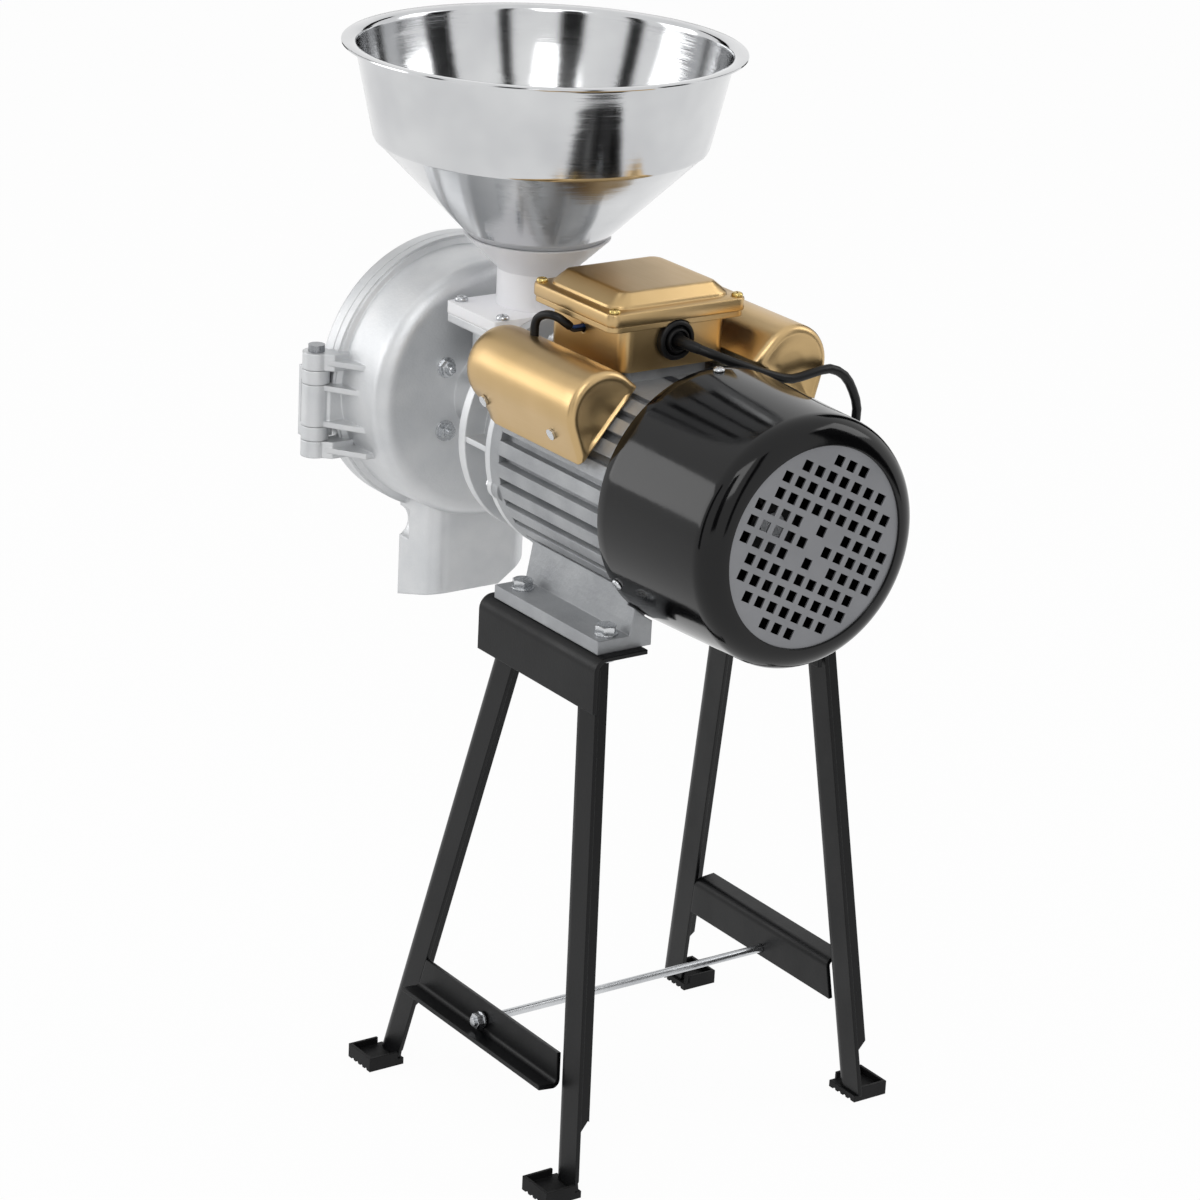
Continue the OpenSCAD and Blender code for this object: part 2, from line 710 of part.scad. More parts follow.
// Rows of square holes: a column's reach is how many holes lie on each side of the middle
grille_reach = [5, 5, 4, 4, 3, 1];
module grille_holes() {
    for (j = [-5 : 5], i = [-5 : 5])
        if (abs(i) <= grille_reach[abs(j)] && !(j == 0 && i == 0) && !(abs(j) == 1 && abs(i) == 1))
            translate([i * grille_pitch, j * grille_pitch]) square(grille_hole, center = true);
}
module fan_grille() {
    color("#a8abb0") on_shaft() along_x(cowl_length - cowl_sheet - grille_sheet - seat_gap)
        linear_extrude(grille_sheet) difference() {
            circle(r = grille_r);
            rotate(90 - grille_turn) grille_holes();
        }
}
module cowl_screws() {
    color("#c4c6c8") on_shaft() at_cowl_screws(cowl_wall_r(cowl_screw_x - cowl_screw_d) + seat_gap) {
        cylinder(r = cowl_screw_d, h = cowl_screw_d * 0.55);
        translate([0, 0, -2 * cowl_screw_d]) cylinder(d = cowl_screw_d, h = 2 * cowl_screw_d);
    }
}

// Terminal box: open tray with a flange, under a lid with a hipped crown
box_wall = 2;
box_corner = 8;
box_top_z = box_floor_z + box_height;
lid_top_z = box_top_z + lid_edge;
lid_shrink = 13;
crown_corner = 14;
lid_screw_inset = 6;
lid_wall = 2;
lid_screw_d = 4;
box_mid_y = 0;
module on_box(z) translate([box_mid_x, box_mid_y, z]) children();
module lid_corners() {
    for (sx = [-1, 1], sy = [-1, 1])
        translate([sx * (lid_length / 2 - lid_screw_inset), sy * (lid_width / 2 - lid_screw_inset)]) children();
}
gland_z = box_floor_z + box_height * 0.58;
gland_r = gland_d / 2;
lead_x = box_mid_x - box_wall * 2;
lead_hole_z = box_floor_z + box_height * 0.58;
module terminal_box() {
    color("#c2944b") on_shaft() difference() {
        union() {
            on_box(box_floor_z + seat_gap) rounded_block(box_length, box_width, box_height - seat_gap, box_corner);
            on_box(box_top_z - 2 * box_wall)
                rounded_block(lid_length - 2 * overrun, lid_width - 2 * overrun, 2 * box_wall, box_corner);
        }
        on_box(box_floor_z + box_wall)
            rounded_block(box_length - 2 * box_wall, box_width - 2 * box_wall, box_height, box_corner - box_wall);
        along_x(box_mid_x) translate([-gland_z, gland_y, 0]) cylinder(r = gland_r * 0.7, h = box_length);
        translate([lead_x, 0, lead_hole_z]) rotate([90, 0, 0])
            cylinder(d = lead_d + 2 * slide_gap, h = box_width);
        on_box(0) lid_corners() cylinder(d = lid_screw_d + 2 * running_gap, h = lid_top_z);
        along_x(box_side_x + seat_gap / 2) translate([-gland_z, gland_y, 0])
            cylinder(r = gland_r + slide_gap, h = lid_length);
    }
}
module lid_form(inset) {
    linear_extrude(lid_edge) rounded_rect(lid_length - 2 * inset, lid_width - 2 * inset, box_corner - inset);
    hull() {
        translate([0, 0, lid_edge - overrun]) linear_extrude(overrun)
            rounded_rect(lid_length - lid_shrink - 2 * inset, lid_width - lid_shrink - 2 * inset,
                crown_corner - inset, $fn = soft_fn);
        translate([0, 0, lid_edge + lid_crown - overrun]) linear_extrude(overrun)
            rounded_rect(lid_length - 2 * lid_shrink - 2 * inset, lid_width - 2.6 * lid_shrink - 2 * inset,
                crown_corner / 2 - inset, $fn = soft_fn);
    }
}
module terminal_lid() {
    color("#c9994d") on_shaft() on_box(box_top_z + seat_gap) difference() {
        lid_form(0);
        translate([0, 0, -lid_wall]) difference() {
            lid_form(lid_wall);
            lid_corners() cylinder(r = box_corner, h = lid_edge * 4, center = true);
        }
        lid_corners() cylinder(d = lid_screw_d + 2 * slide_gap, h = lid_edge * 4, center = true);
    }
}
module lid_screws() {
    color("#c8b273") on_shaft() on_box(lid_top_z + 2 * seat_gap) lid_corners() {
        cylinder(r = lid_screw_d, h = lid_screw_d * 0.6);
        translate([0, 0, -lid_edge * 1.4]) cylinder(d = lid_screw_d, h = lid_edge * 1.4);
    }
}
block_length = 50;
block_width = 16;
block_height = 14;
terminal_count = 6;
module terminal_block() {
    color("#e8e2d2") on_shaft() on_box(box_floor_z + box_wall + seat_gap) difference() {
        translate([-block_length / 2, -block_width / 2, 0]) cube([block_length, block_width, block_height]);
        for (i = [1 : terminal_count])
            translate([(i / (terminal_count + 1) - 0.5) * block_length, 0, block_height * 0.6])
                cylinder(d = lid_screw_d, h = block_height);
    }
}
gland_out = 9;
box_side_x = box_mid_x + box_length / 2;
gland_y = -1.4;
module cable_gland() {
    color("#131314") on_shaft() translate([0, gland_y, 0]) along_x(box_side_x + seat_gap)
        translate([-gland_z, 0, 0]) difference() {
            union() {
                cylinder(r = gland_r, h = gland_out * 0.6, $fn = 96);
                cylinder(r = gland_r * 0.8, h = gland_out);
                translate([0, 0, -box_wall * 3]) cylinder(r = gland_r * 0.7 - seat_gap, h = box_wall * 3 + overrun);
            }
            translate([0, 0, -box_wall * 4]) cylinder(d = cord_d - slide_gap, h = gland_out + box_wall * 4 - cord_d);
            translate([0, 0, gland_out - cord_d]) cylinder(d = cord_d + 2 * seat_gap, h = cord_d + overrun);
        }
}

// Capacitors lie under pressed covers on both sides of the box
near_cap_y = -71;
near_cap_z = 61;
near_cap_x = -90;
far_cap_y = 75.4;
far_cap_z = 77;
far_cap_x = -80;
cover_front_round = 16;
cover_rear_round = 5;
cover_sheet = 1.4;
cover_skirt = 30;
// A cover's outer side flares in a flat skirt from the round hood to a tip beside its middle
flare_y = -35;
flare_z = -6;
flare_start = 26;
flare_normal = atan2(flare_z, flare_y) + 360 - acos(cover_r / norm([flare_y, flare_z]));
module cover_end(x, edge, inset) {
    along_x(x) rotate_extrude($fn = soft_fn * 1.5) intersection() {
        translate([cover_r - edge, 0]) circle(r = edge - inset, $fn = soft_fn);
        translate([0, -cover_r]) square(2 * cover_r);
    }
}
module cover_solid(inset) {
    front_x = cover_front_round - cover_length / 2;
    rear_x = cover_length / 2 - cover_rear_round;
    tip_y = flare_y - inset * (cos(flare_normal) + sin(flare_normal));
    tip_z = flare_z - inset * (sin(flare_normal) - cos(flare_normal)) - inset;
    hull() {
        cover_end(front_x, cover_front_round, inset);
        cover_end(rear_x, cover_rear_round, inset);
        translate([front_x, cover_r - inset - overrun, -cover_skirt - inset])
            cube([rear_x - front_x, overrun, overrun]);
        translate([front_x + flare_start, tip_y, tip_z]) cube([rear_x - front_x - flare_start, overrun, overrun / 4]);
    }
}
module place_cover(x, y, z) {
    translate([x, y, z]) rotate([atan2(-y, z), 0, 0]) mirror([0, y > 0 ? 1 : 0, 0]) children();
}
module cover_shell(x, y, z) {
    difference() {
        place_cover(x, y, z) difference() {
            cover_solid(0);
            cover_solid(cover_sheet);
        }
        along_x(-leg_reach) cylinder(r = frame_tip_r + seat_gap, h = 2 * leg_reach);
        along_x(-overrun * 2) cylinder(r = cowl_r + overrun, h = cowl_length);
        along_x(frame_front_x - 2 * bell_length) cylinder(r = lug_reach_r + slide_gap, h = 2 * bell_length);
        translate(lead_route[0] - [0, 0, 2 * lead_d]) cylinder(d = lead_d + 2 * slide_gap, h = 4 * lead_d);
        on_box(box_floor_z - 4 * overrun)
            rounded_block(box_length + 2 * seat_gap, box_width + 2 * seat_gap, box_height, box_corner);
        on_box(box_top_z - 2 * box_wall - seat_gap)
            rounded_block(lid_length + overrun, lid_width + overrun, lid_edge * 4, box_corner);
    }
}
module near_capacitor_cover() color("#c69a52") on_shaft() cover_shell(near_cap_x, near_cap_y, near_cap_z);
module far_capacitor_cover() color("#c69a52") on_shaft() cover_shell(far_cap_x, far_cap_y, far_cap_z);
capacitor_r = capacitor_d / 2;
cover_screw_drop = 9;
function out_shift(y, z, d) = [0, y * d / norm([y, z]), z * d / norm([y, z])];
// A capacitor lies on the edge of the nearest fin: how far that edge is off its own direction
function fin_edge_off(a) = max(0, abs(a - fin_pitch * (round(a / fin_pitch - 0.5) + 0.5)) - asin(fin_width / 2 / frame_tip_r));
function seat_distance(off) = frame_tip_r * cos(off)
    + sqrt(pow(capacitor_r + slide_gap, 2) - pow(frame_tip_r * sin(off), 2));
module capacitor(x, y, z) {
    shift = out_shift(y, z, seat_distance(fin_edge_off(atan2(z, y))) - norm([y, z]));
    translate([x - capacitor_length / 2, y, z] + shift) rotate([0, 90, 0]) {
        cylinder(r = capacitor_r, h = capacitor_length);
        translate([0, 0, capacitor_length]) cylinder(r = capacitor_r * 0.5, h = lead_d);
    }
}
module capacitors() {
    color("#e6e6e3") on_shaft() {
        capacitor(near_cap_x, near_cap_y, near_cap_z);
        capacitor(far_cap_x, far_cap_y, far_cap_z);
    }
}
module cover_screws() {
    color("#c4c6c8") on_shaft() {
        for (p = [[near_cap_x, near_cap_y, near_cap_z], [far_cap_x, far_cap_y, far_cap_z]])
            for (side = [-1, 1]) place_cover(p[0], p[1], p[2])
                rotate([flare_normal - 90, 0, 0]) translate([side * cover_length * 0.3, -cover_screw_drop, cover_r + seat_gap])
                    cylinder(r = lid_screw_d, h = lid_screw_d * 0.5);
    }
}

// Mill housing: drum with a rounded back, spout, feed throat and bell in one casting
rim_width = 7;
rim_groove = 1.6;
back_round = 12;
throat_r = feed_bore_r + casting_wall;
inlet_share = 0.6;
inlet_x = drum_back_x + throat_length * inlet_share;
plate_length = 62;
plate_width = 106;
plate_thickness = 8.5;
plate_top_z = 78;
throat_top_z = plate_top_z - plate_thickness;
pillar_length = 60;
pillar_width = 80;
pillar_corner = 20;
throat_flange = 6;
screw_inset = 4.6;
spout_x_wall = drum_back_x - 12.5;
spout_mid_y = 4;
spout_corner = 14;
spout_slant = 16;
bell_flange = 6;
bell_wall = 6;
bell_shell_r = 64;
bell_ribs = 4;
chamber_r = drum_r - casting_wall;
module drum_profile() {
    polygon([[0, 0], [rim_r, 0], [rim_r, rim_width], [rim_r - rim_groove, rim_width],
        [rim_r - rim_groove, rim_width + rim_groove], [drum_r + rim_groove, rim_width + 2 * rim_groove],
        [drum_r, drum_depth - back_round], [drum_r - back_round, drum_depth], [0, drum_depth]]);
    translate([drum_r - back_round, drum_depth - back_round]) circle(r = back_round);
}
module spout_outline(inset) {
    hw = spout_width / 2 - inset;
    intersection() {
        translate([mill_front_x - spout_corner, spout_mid_y, 0])
            rotate([0, 0, 0]) linear_extrude(drum_r * 2, center = false)
                translate([(spout_x_wall - mill_front_x + spout_corner - inset) / 2, 0])
                    rounded_rect(spout_x_wall - mill_front_x + spout_corner - inset, 2 * hw, spout_corner - inset);
        translate([mill_front_x + (inset > 0 ? casting_wall : 0), -drum_r, 0])
            cube([drum_depth, 2 * drum_r, drum_r * 2]);
    }
}
module mouth_cut() {
    translate([spout_x_wall, 0, -spout_drop]) rotate([0, -spout_slant, 0])
        translate([-leg_reach, -leg_reach, -leg_reach]) cube([2 * leg_reach, 2 * leg_reach, leg_reach]);
    translate([spout_x_wall, spout_width * 0.23, -spout_drop]) rotate([35, 0, 0])
        translate([-leg_reach, 0, -leg_reach]) cube([2 * leg_reach, leg_reach, leg_reach]);
}
hinge_x = mill_front_x - 0.6 * overrun;
hinge_y = -112;
hinge_z = -10.6;
knuckle_gap = 0.4;
end_knuckle = 12.2;
door_knuckle = 10.2;
mid_knuckle = 30.8;
pin_bore_r = hinge_pin_d / 2 + running_gap;
door_knuckle_z = [hinge_z - mid_knuckle / 2 - knuckle_gap - door_knuckle, hinge_z + mid_knuckle / 2 + knuckle_gap];
end_knuckle_z = [hinge_z - mid_knuckle / 2 - 2 * knuckle_gap - door_knuckle - end_knuckle,
    hinge_z + mid_knuckle / 2 + 2 * knuckle_gap + door_knuckle];
hinge_height = mid_knuckle + 2 * (end_knuckle + door_knuckle + 2 * knuckle_gap);
arm_reach = 15;
rib_reach = 38;
rib_sheet = 4;
module hinge_arm(z, h, reach) {
    translate([0, 0, z]) {
        translate([hinge_x, hinge_y, 0]) cylinder(r = knuckle_r, h = h);
        linear_extrude(h) polygon([[hinge_x, hinge_y - knuckle_r], [hinge_x + reach, hinge_y + knuckle_r * 0.6],
            [hinge_x + reach, 2 * casting_wall - rim_r], [mill_front_x, 2 * casting_wall - rim_r],
            [mill_front_x, hinge_y + knuckle_r]]);
    }
}
module hinge_rib(z) {
    translate([0, 0, z]) linear_extrude(rib_sheet)
        polygon([[hinge_x + overrun, hinge_y - knuckle_r * 0.5], [hinge_x + rib_reach, casting_wall / 2 - drum_r],
            [hinge_x + rib_reach, 2 * casting_wall - drum_r], [mill_front_x, 2 * casting_wall - drum_r]]);
}
pivot_x = mill_front_x + 15;
pivot_y = 113;
ear_z = 5;
ear_h = 6;
ear_r = 9;
swing_pin_r = 3;
module latch_ear(z) {
    translate([0, 0, z]) difference() {
        union() {
            translate([pivot_x, pivot_y, 0]) cylinder(r = ear_r, h = ear_h);
            linear_extrude(ear_h) polygon([[pivot_x - ear_r, pivot_y], [pivot_x + ear_r, pivot_y],
                [pivot_x + 2 * ear_r, drum_r - casting_wall / 2], [pivot_x - ear_r, drum_r - casting_wall / 2]]);
        }
        translate([pivot_x, pivot_y, -overrun]) cylinder(r = swing_pin_r + running_gap, h = ear_h + 2 * overrun);
    }
}
burr_bolt_ring = 47;
burr_bolt_d = 6;
burr_bolt_turn = 60.7;
module at_burr_bolts(x) {
    for (i = [0 : 2]) along_x(x) rotate(burr_bolt_turn + 120 * i) translate([burr_bolt_ring, 0]) children();
}
notch_r = 13;
notch_y = -44;
notch_z = -110;
module housing_outside() {
    along_x(mill_front_x) rotate_extrude() intersection() {
        drum_profile();
        square([2 * rim_r, 2 * drum_depth]);
    }
    rotate([180, 0, 0]) mirror([0, 1, 0]) spout_outline(0);
    along_x(drum_back_x - overrun) cylinder(r = throat_r, h = throat_length + 2 * overrun);
    translate([inlet_x, 0, 0]) {
        rounded_block(pillar_length, pillar_width, throat_top_z - overrun, pillar_corner);
        translate([0, 0, throat_top_z - throat_flange])
            rounded_block(plate_length, plate_width, throat_flange, throat_flange / 2);
    }
    along_x(bell_front_x) cylinder(r = bell_r, h = shield_plate);
    along_x(bell_front_x + overrun) cylinder(r = bell_shell_r, h = bell_length - 2 * overrun);
    along_x(bell_front_x + overrun) for (i = [0 : bell_ribs - 1]) rotate(i * 360 / bell_ribs)
        translate([bell_shell_r - bell_wall / 2, -rib_sheet / 2, 0])
            cube([bell_r - bell_shell_r + bell_wall / 2 - overrun, rib_sheet, bell_length - 2 * overrun]);
    along_x(shield_front_x - bell_flange) cylinder(r = shield_r, h = bell_flange);
    bell_bolt_places(shield_front_x - bell_flange + lug_step) cylinder(r = lug_r, h = bell_flange - 2 * lug_step);
}
module housing_inside() {
    along_x(mill_front_x - overrun) cylinder(r = chamber_r, h = drum_depth - casting_wall + overrun);
    rotate([180, 0, 0]) mirror([0, 1, 0]) spout_outline(casting_wall * 0.7);
    along_x(drum_back_x - 2 * casting_wall) cylinder(r = feed_bore_r, h = throat_length + casting_wall);
    translate([inlet_x, 0, 0]) cylinder(r = neck_d / 2 - cup_wall, h = plate_top_z);
    along_x(bell_front_x + shield_plate) cylinder(r = bell_shell_r - bell_wall, h = bell_length);
    along_x(bell_front_x - casting_wall * 2) cylinder(r = shaft_r + overrun, h = bell_length);
    along_x(bell_front_x + overrun - seat_gap) cylinder(r = seal_r + running_gap, h = bell_length);
}
module mill_housing() {
    color("#c6c8ca") on_shaft() difference() {
        union() {
            difference() {
                housing_outside();
                mouth_cut();
                along_x(mill_front_x - overrun) translate([-notch_z, notch_y, 0])
                    cylinder(r = notch_r, h = notch_r + overrun);
            }
            for (z = end_knuckle_z) hinge_arm(z, end_knuckle, arm_reach);
            hinge_arm(hinge_z - mid_knuckle / 2, mid_knuckle, arm_reach * 0.7);
            for (z = [end_knuckle_z[0], end_knuckle_z[1]]) hinge_rib(z + end_knuckle / 2 - rib_sheet / 2);
            for (z = [hinge_z - mid_knuckle / 2, hinge_z + mid_knuckle / 2 - rib_sheet]) hinge_rib(z);
            for (side = [0, 1]) mirror([0, 0, side]) latch_ear(ear_z);
        }
        housing_inside();
        for (z = door_knuckle_z) translate([hinge_x, hinge_y, z - knuckle_gap])
            cylinder(r = knuckle_r + 2 * slide_gap, h = door_knuckle + 2 * knuckle_gap);
        translate([hinge_x, hinge_y, hinge_z - hinge_height]) cylinder(r = pin_bore_r, h = 2 * hinge_height);
        bell_bolt_places(shield_front_x - bell_flange - overrun)
            cylinder(d = bell_bolt_d + 2 * running_gap, h = bell_flange + 2 * overrun);
        at_burr_bolts(drum_back_x - 2 * casting_wall)
            cylinder(d = burr_bolt_d + 2 * running_gap, h = 3 * casting_wall);
        translate([inlet_x, 0, 0]) cup_screw_places() cylinder(d = cup_screw_d + 2 * running_gap, h = plate_top_z);
    }
}
bell_bolt_length = 17;
module bell_bolts() {
    color("#c4c6c8") on_shaft() bell_bolt_places(shield_front_x - bell_flange - seat_gap) {
        translate([0, 0, -bolt_head_h]) hex_head(bolt_across, bolt_head_h);
        cylinder(d = bell_bolt_d, h = bell_bolt_length);
    }
}

// Grinding discs: the fixed one is bolted to the drum's back, the moving one rides on the shaft
eye_r = 28;
furrow_depth = 2;
furrow_width = 4;
module furrows(inner_r) {
    for (i = [0 : furrow_count - 1]) rotate(i * 360 / furrow_count)
        translate([inner_r, -furrow_width / 2, -furrow_depth])
            cube([burr_r, furrow_width, 2 * furrow_depth]);
}
module fixed_burr() {
    color("#8d8f93") on_shaft() difference() {
        along_x(fixed_burr_x - burr_thickness) difference() {
            cylinder(r = burr_r, h = burr_thickness - seat_gap);
            translate([0, 0, -overrun]) cylinder(r = eye_r, h = burr_thickness * 2);
            furrows(eye_r + furrow_width);
        }
        at_burr_bolts(fixed_burr_x - 2 * burr_thickness)
            cylinder(d = burr_bolt_d + 2 * running_gap, h = 3 * burr_thickness);
        at_burr_bolts(fixed_burr_x - burr_thickness - overrun)
            cylinder(r = burr_bolt_d * 0.9 + seat_gap, h = burr_bolt_d * 0.6 + overrun + furrow_depth);
    }
}
module burr_bolts() {
    color("#c4c6c8") on_shaft() {
        at_burr_bolts(fixed_burr_x - burr_thickness + furrow_depth) {
            cylinder(r = burr_bolt_d * 0.9, h = burr_bolt_d * 0.6);
            cylinder(d = burr_bolt_d, h = burr_thickness + casting_wall + nut_h * 1.4);
        }
        at_burr_bolts(drum_back_x + seat_gap) difference() {
            union() {
                cylinder(r = nut_across * 0.75, h = washer_h);
                translate([0, 0, washer_h]) hex_head(nut_across, nut_h);
            }
            translate([0, 0, -overrun]) cylinder(d = burr_bolt_d - seat_gap, h = nut_h);
        }
    }
}
module moving_burr() {
    color("#8d8f93") on_shaft() difference() {
        union() {
            along_x(moving_face_x - burr_thickness) difference() {
                cylinder(r = burr_r, h = burr_thickness);
                translate([0, 0, burr_thickness]) furrows(eye_r);
            }
            along_x(moving_nose_x) cylinder(r = hub_r, h = hub_length + overrun);
        }
        along_x(shaft_front_x - overrun * 4) cylinder(r = shaft_r + running_gap, h = hub_length * 4);
    }
}
auger_start_x = fixed_burr_x + overrun * 2;
auger_length = bell_front_x - casting_wall - auger_start_x - overrun;
auger_r = feed_bore_r - 2 * overrun;
auger_sleeve_r = 14;
auger_turns = 2;
auger_flight = 5;
module feed_auger() {
    color("#9c9ea2") on_shaft() along_x(auger_start_x) difference() {
        union() {
            cylinder(r = auger_sleeve_r, h = auger_length);
            linear_extrude(auger_length, twist = -360 * auger_turns, slices = 24 * auger_turns, $fn = 12)
                translate([0, -auger_flight / 2]) square([auger_r, auger_flight]);
        }
        translate([0, 0, -overrun]) cylinder(r = shaft_r + running_gap, h = auger_length + 2 * overrun);
    }
}

// Door: ribbed disc on two knuckles joined by a strap, with a slotted lug for the swing bolt
boss_r = 22;
door_ribs = 6;
strap_sheet = 3;
lug_half_z = 11;
nut_reach = 30;
nut_slack = 2;
shank_r = 4;
module door_disc() {
    along_x(door_front_x) cylinder(r = rim_r, h = door_thickness);
    along_x(boss_front_x) cylinder(r = boss_r, h = door_boss_length + overrun);
    along_x(door_front_x - rim_width) tube(rim_r * 0.9, rim_r * 0.84, rim_width + overrun);
    for (i = [0 : door_ribs - 1]) along_x(door_front_x) rotate(30 + i * 360 / door_ribs)
        rotate([90, 0, 0]) translate([0, 0, -rib_sheet / 2]) linear_extrude(rib_sheet)
            polygon([[0, overrun], [rim_r * 0.86, overrun], [rim_r * 0.86, -rim_width],
                [boss_r, -door_boss_length * 0.8], [0, -door_boss_length * 0.8]]);
}
module door_knuckles() {
    strap_x = hinge_x - knuckle_r - strap_sheet - slide_gap;
    for (z = door_knuckle_z) translate([0, 0, z]) {
        translate([hinge_x, hinge_y, 0]) cylinder(r = knuckle_r, h = door_knuckle);
        translate([strap_x, hinge_y - knuckle_r * 0.6, 0])
            cube([door_back_x - strap_x, knuckle_r * 0.6 + knuckle_r * 1.4, door_knuckle]);
    }
    translate([strap_x, hinge_y - knuckle_r * 0.6, door_knuckle_z[0]])
        cube([strap_sheet, knuckle_r * 2.8, door_knuckle_z[1] + door_knuckle - door_knuckle_z[0]]);
}
module door_lug() {
    intersection() {
        translate([door_front_x - door_thickness, rim_r - 2 * rim_width, -lug_half_z])
            cube([2 * door_thickness, pivot_y + ear_r - rim_r + 2 * rim_width, 2 * lug_half_z]);
        union() {
            translate([pivot_x, pivot_y, -lug_half_z]) cylinder(r = nut_reach - nut_slack, h = 2 * lug_half_z);
            translate([door_front_x, 0, -lug_half_z]) cube([door_thickness, rim_r, 2 * lug_half_z]);
        }
    }
}
module door() {
    color("#c3c5c7") on_shaft() difference() {
        union() {
            door_disc();
            door_knuckles();
            door_lug();
        }
        along_x(door_back_x - door_thickness * 0.4) cylinder(r = chamber_r, h = door_thickness);
        along_x(boss_front_x - overrun) cylinder(d = screw_d + 2 * running_gap, h = door_boss_length * 3);
        translate([hinge_x, hinge_y, hinge_z - hinge_height]) cylinder(r = pin_bore_r, h = 2 * hinge_height);
        for (z = concat(end_knuckle_z, [hinge_z - mid_knuckle / 2]))
            translate([hinge_x, hinge_y, z - knuckle_gap])
                cylinder(r = knuckle_r + slide_gap, h = (z == hinge_z - mid_knuckle / 2 ? mid_knuckle : end_knuckle)
                    + 2 * knuckle_gap);
        translate([-leg_reach, pivot_y - shank_r - slide_gap * 2, -shank_r - slide_gap * 2])
            cube([2 * leg_reach, leg_reach, 2 * (shank_r + slide_gap * 2)]);
        translate([pivot_x, pivot_y, -rim_r]) cylinder(r = pivot_x - door_back_x - slide_gap, h = 2 * rim_r);
    }
}
pin_head_h = 5;
pin_head_r = 6;
module hinge_pin() {
    color("#b4b6b9") on_shaft() translate([hinge_x, hinge_y, hinge_z]) {
        translate([0, 0, -hinge_height / 2]) cylinder(d = hinge_pin_d, h = hinge_height + overrun);
        translate([0, 0, hinge_height / 2 + seat_gap]) cylinder(r = pin_head_r, h = pin_head_h);
    }
}
swing_rest = 135;
shank_length = 44;
eye_h = 2 * ear_z - 2 * slide_gap;
module at_pivot() translate([pivot_x, pivot_y, 0]) rotate([0, 0, 180 - swing_rest]) children();
module swing_bolt() {
    color("#b4b6b9") on_shaft() at_pivot() difference() {
        union() {
            translate([0, 0, -eye_h / 2]) cylinder(r = ear_r * 0.85, h = eye_h);
            along_x(0) cylinder(r = shank_r, h = shank_length);
        }
        translate([0, 0, -ear_r]) cylinder(r = swing_pin_r + running_gap, h = 2 * ear_r);
    }
}
module swing_pin() {
    color("#b4b6b9") on_shaft() translate([pivot_x, pivot_y, -ear_z - ear_h]) {
        cylinder(r = swing_pin_r, h = 2 * (ear_z + ear_h) + overrun);
        translate([0, 0, 2 * (ear_z + ear_h) + seat_gap]) cylinder(r = swing_pin_r * 1.6, h = swing_pin_r);
    }
}
wing_nut_h = 9;
wing_reach = 16;
module wing_nut() {
    color("#b4b6b9") on_shaft() at_pivot() difference() {
        along_x(nut_reach) {
            cylinder(r = shank_r * 2, h = wing_nut_h);
            for (side = [-1, 1]) translate([-shank_r / 2, side * wing_reach * 0.6 - wing_reach * 0.4, wing_nut_h * 0.4])
                cube([shank_r, wing_reach * 0.8, wing_nut_h]);
        }
        along_x(0) cylinder(r = shank_r + running_gap, h = 2 * shank_length);
    }
}
pad_thickness = 3;
screw_tip_x = moving_nose_x - 2 * slide_gap - pad_thickness;
module thrust_pad() color("#b98d4a") on_shaft()
    along_x(moving_nose_x - slide_gap - pad_thickness) cylinder(r = screw_d * 0.4, h = pad_thickness);
module adjusting_screw() {
    color("#a9abae") on_shaft() along_x(knob_front_x) {
        cylinder(d = screw_d, h = screw_tip_x - knob_front_x);
        difference() {
            cylinder(d = knob_d, h = knob_length);
            for (i = [0 : 5]) rotate(i * 60) translate([knob_d * 0.58, 0, -overrun])
                cylinder(r = knob_d * 0.18, h = knob_length + 2 * overrun);
        }
    }
}

// Inlet cup: plate, neck and flared cup in one white moulding
cup_screw_d = 5;
module cup_screw_places() {
    for (sx = [-1, 1], sy = [-1, 1])
        translate([sx * (plate_length / 2 - screw_inset), sy * (plate_width / 2 - 2 * screw_inset)]) children();
}
neck_height = 26;
module inlet_cup() {
    color("#ece9ef") on_shaft() translate([inlet_x, 0, throat_top_z + seat_gap]) {
        difference() {
            rounded_block(plate_length, plate_width, plate_thickness - seat_gap, overrun * 2);
            translate([0, 0, -overrun]) cylinder(r = neck_d / 2 - cup_wall, h = plate_thickness * 2);
            cup_screw_places() translate([0, 0, -overrun])
                cylinder(d = cup_screw_d + 2 * slide_gap, h = plate_thickness * 2);
        }
        translate([0, 0, plate_thickness - seat_gap]) rotate_extrude() polygon([
            [neck_d / 2 - cup_wall, 0], [neck_d / 2, 0], [neck_d / 2, neck_height],
            [cup_r, cup_height], [cup_r - cup_wall, cup_height], [neck_d / 2 - cup_wall, neck_height]]);
    }
}
module hopper() {
    cup_rim_z = plate_top_z + cup_height;
    bend_z = cup_rim_z + cone_height;
    lip_z = bend_z + wall_height;
    spigot_r = neck_d / 2 - cup_wall - slide_gap;
    slope = (cup_r - neck_d / 2) / (cup_height - neck_height);
    foot_z = plate_top_z + neck_height - overrun * 6;
    seat_z = plate_top_z + neck_height + overrun;
    color("#c9ccd0") on_shaft() translate([inlet_x, 0, 0]) rotate_extrude($fn = 128) polygon([
        [spigot_r - hopper_sheet, foot_z], [spigot_r, foot_z], [spigot_r, seat_z],
        [cup_r - cup_wall - slide_gap, cup_rim_z], [cone_r, bend_z],
        [mouth_d / 2 + hopper_sheet, lip_z - hopper_sheet], [lip_d / 2, lip_z - hopper_sheet],
        [lip_d / 2, lip_z], [mouth_d / 2, lip_z], [cone_r - hopper_sheet, bend_z + hopper_sheet * 0.5],
        [cup_r - cup_wall - slide_gap - hopper_sheet, cup_rim_z + hopper_sheet * 0.5],
        [spigot_r - hopper_sheet, seat_z + hopper_sheet * 0.5]]);
}
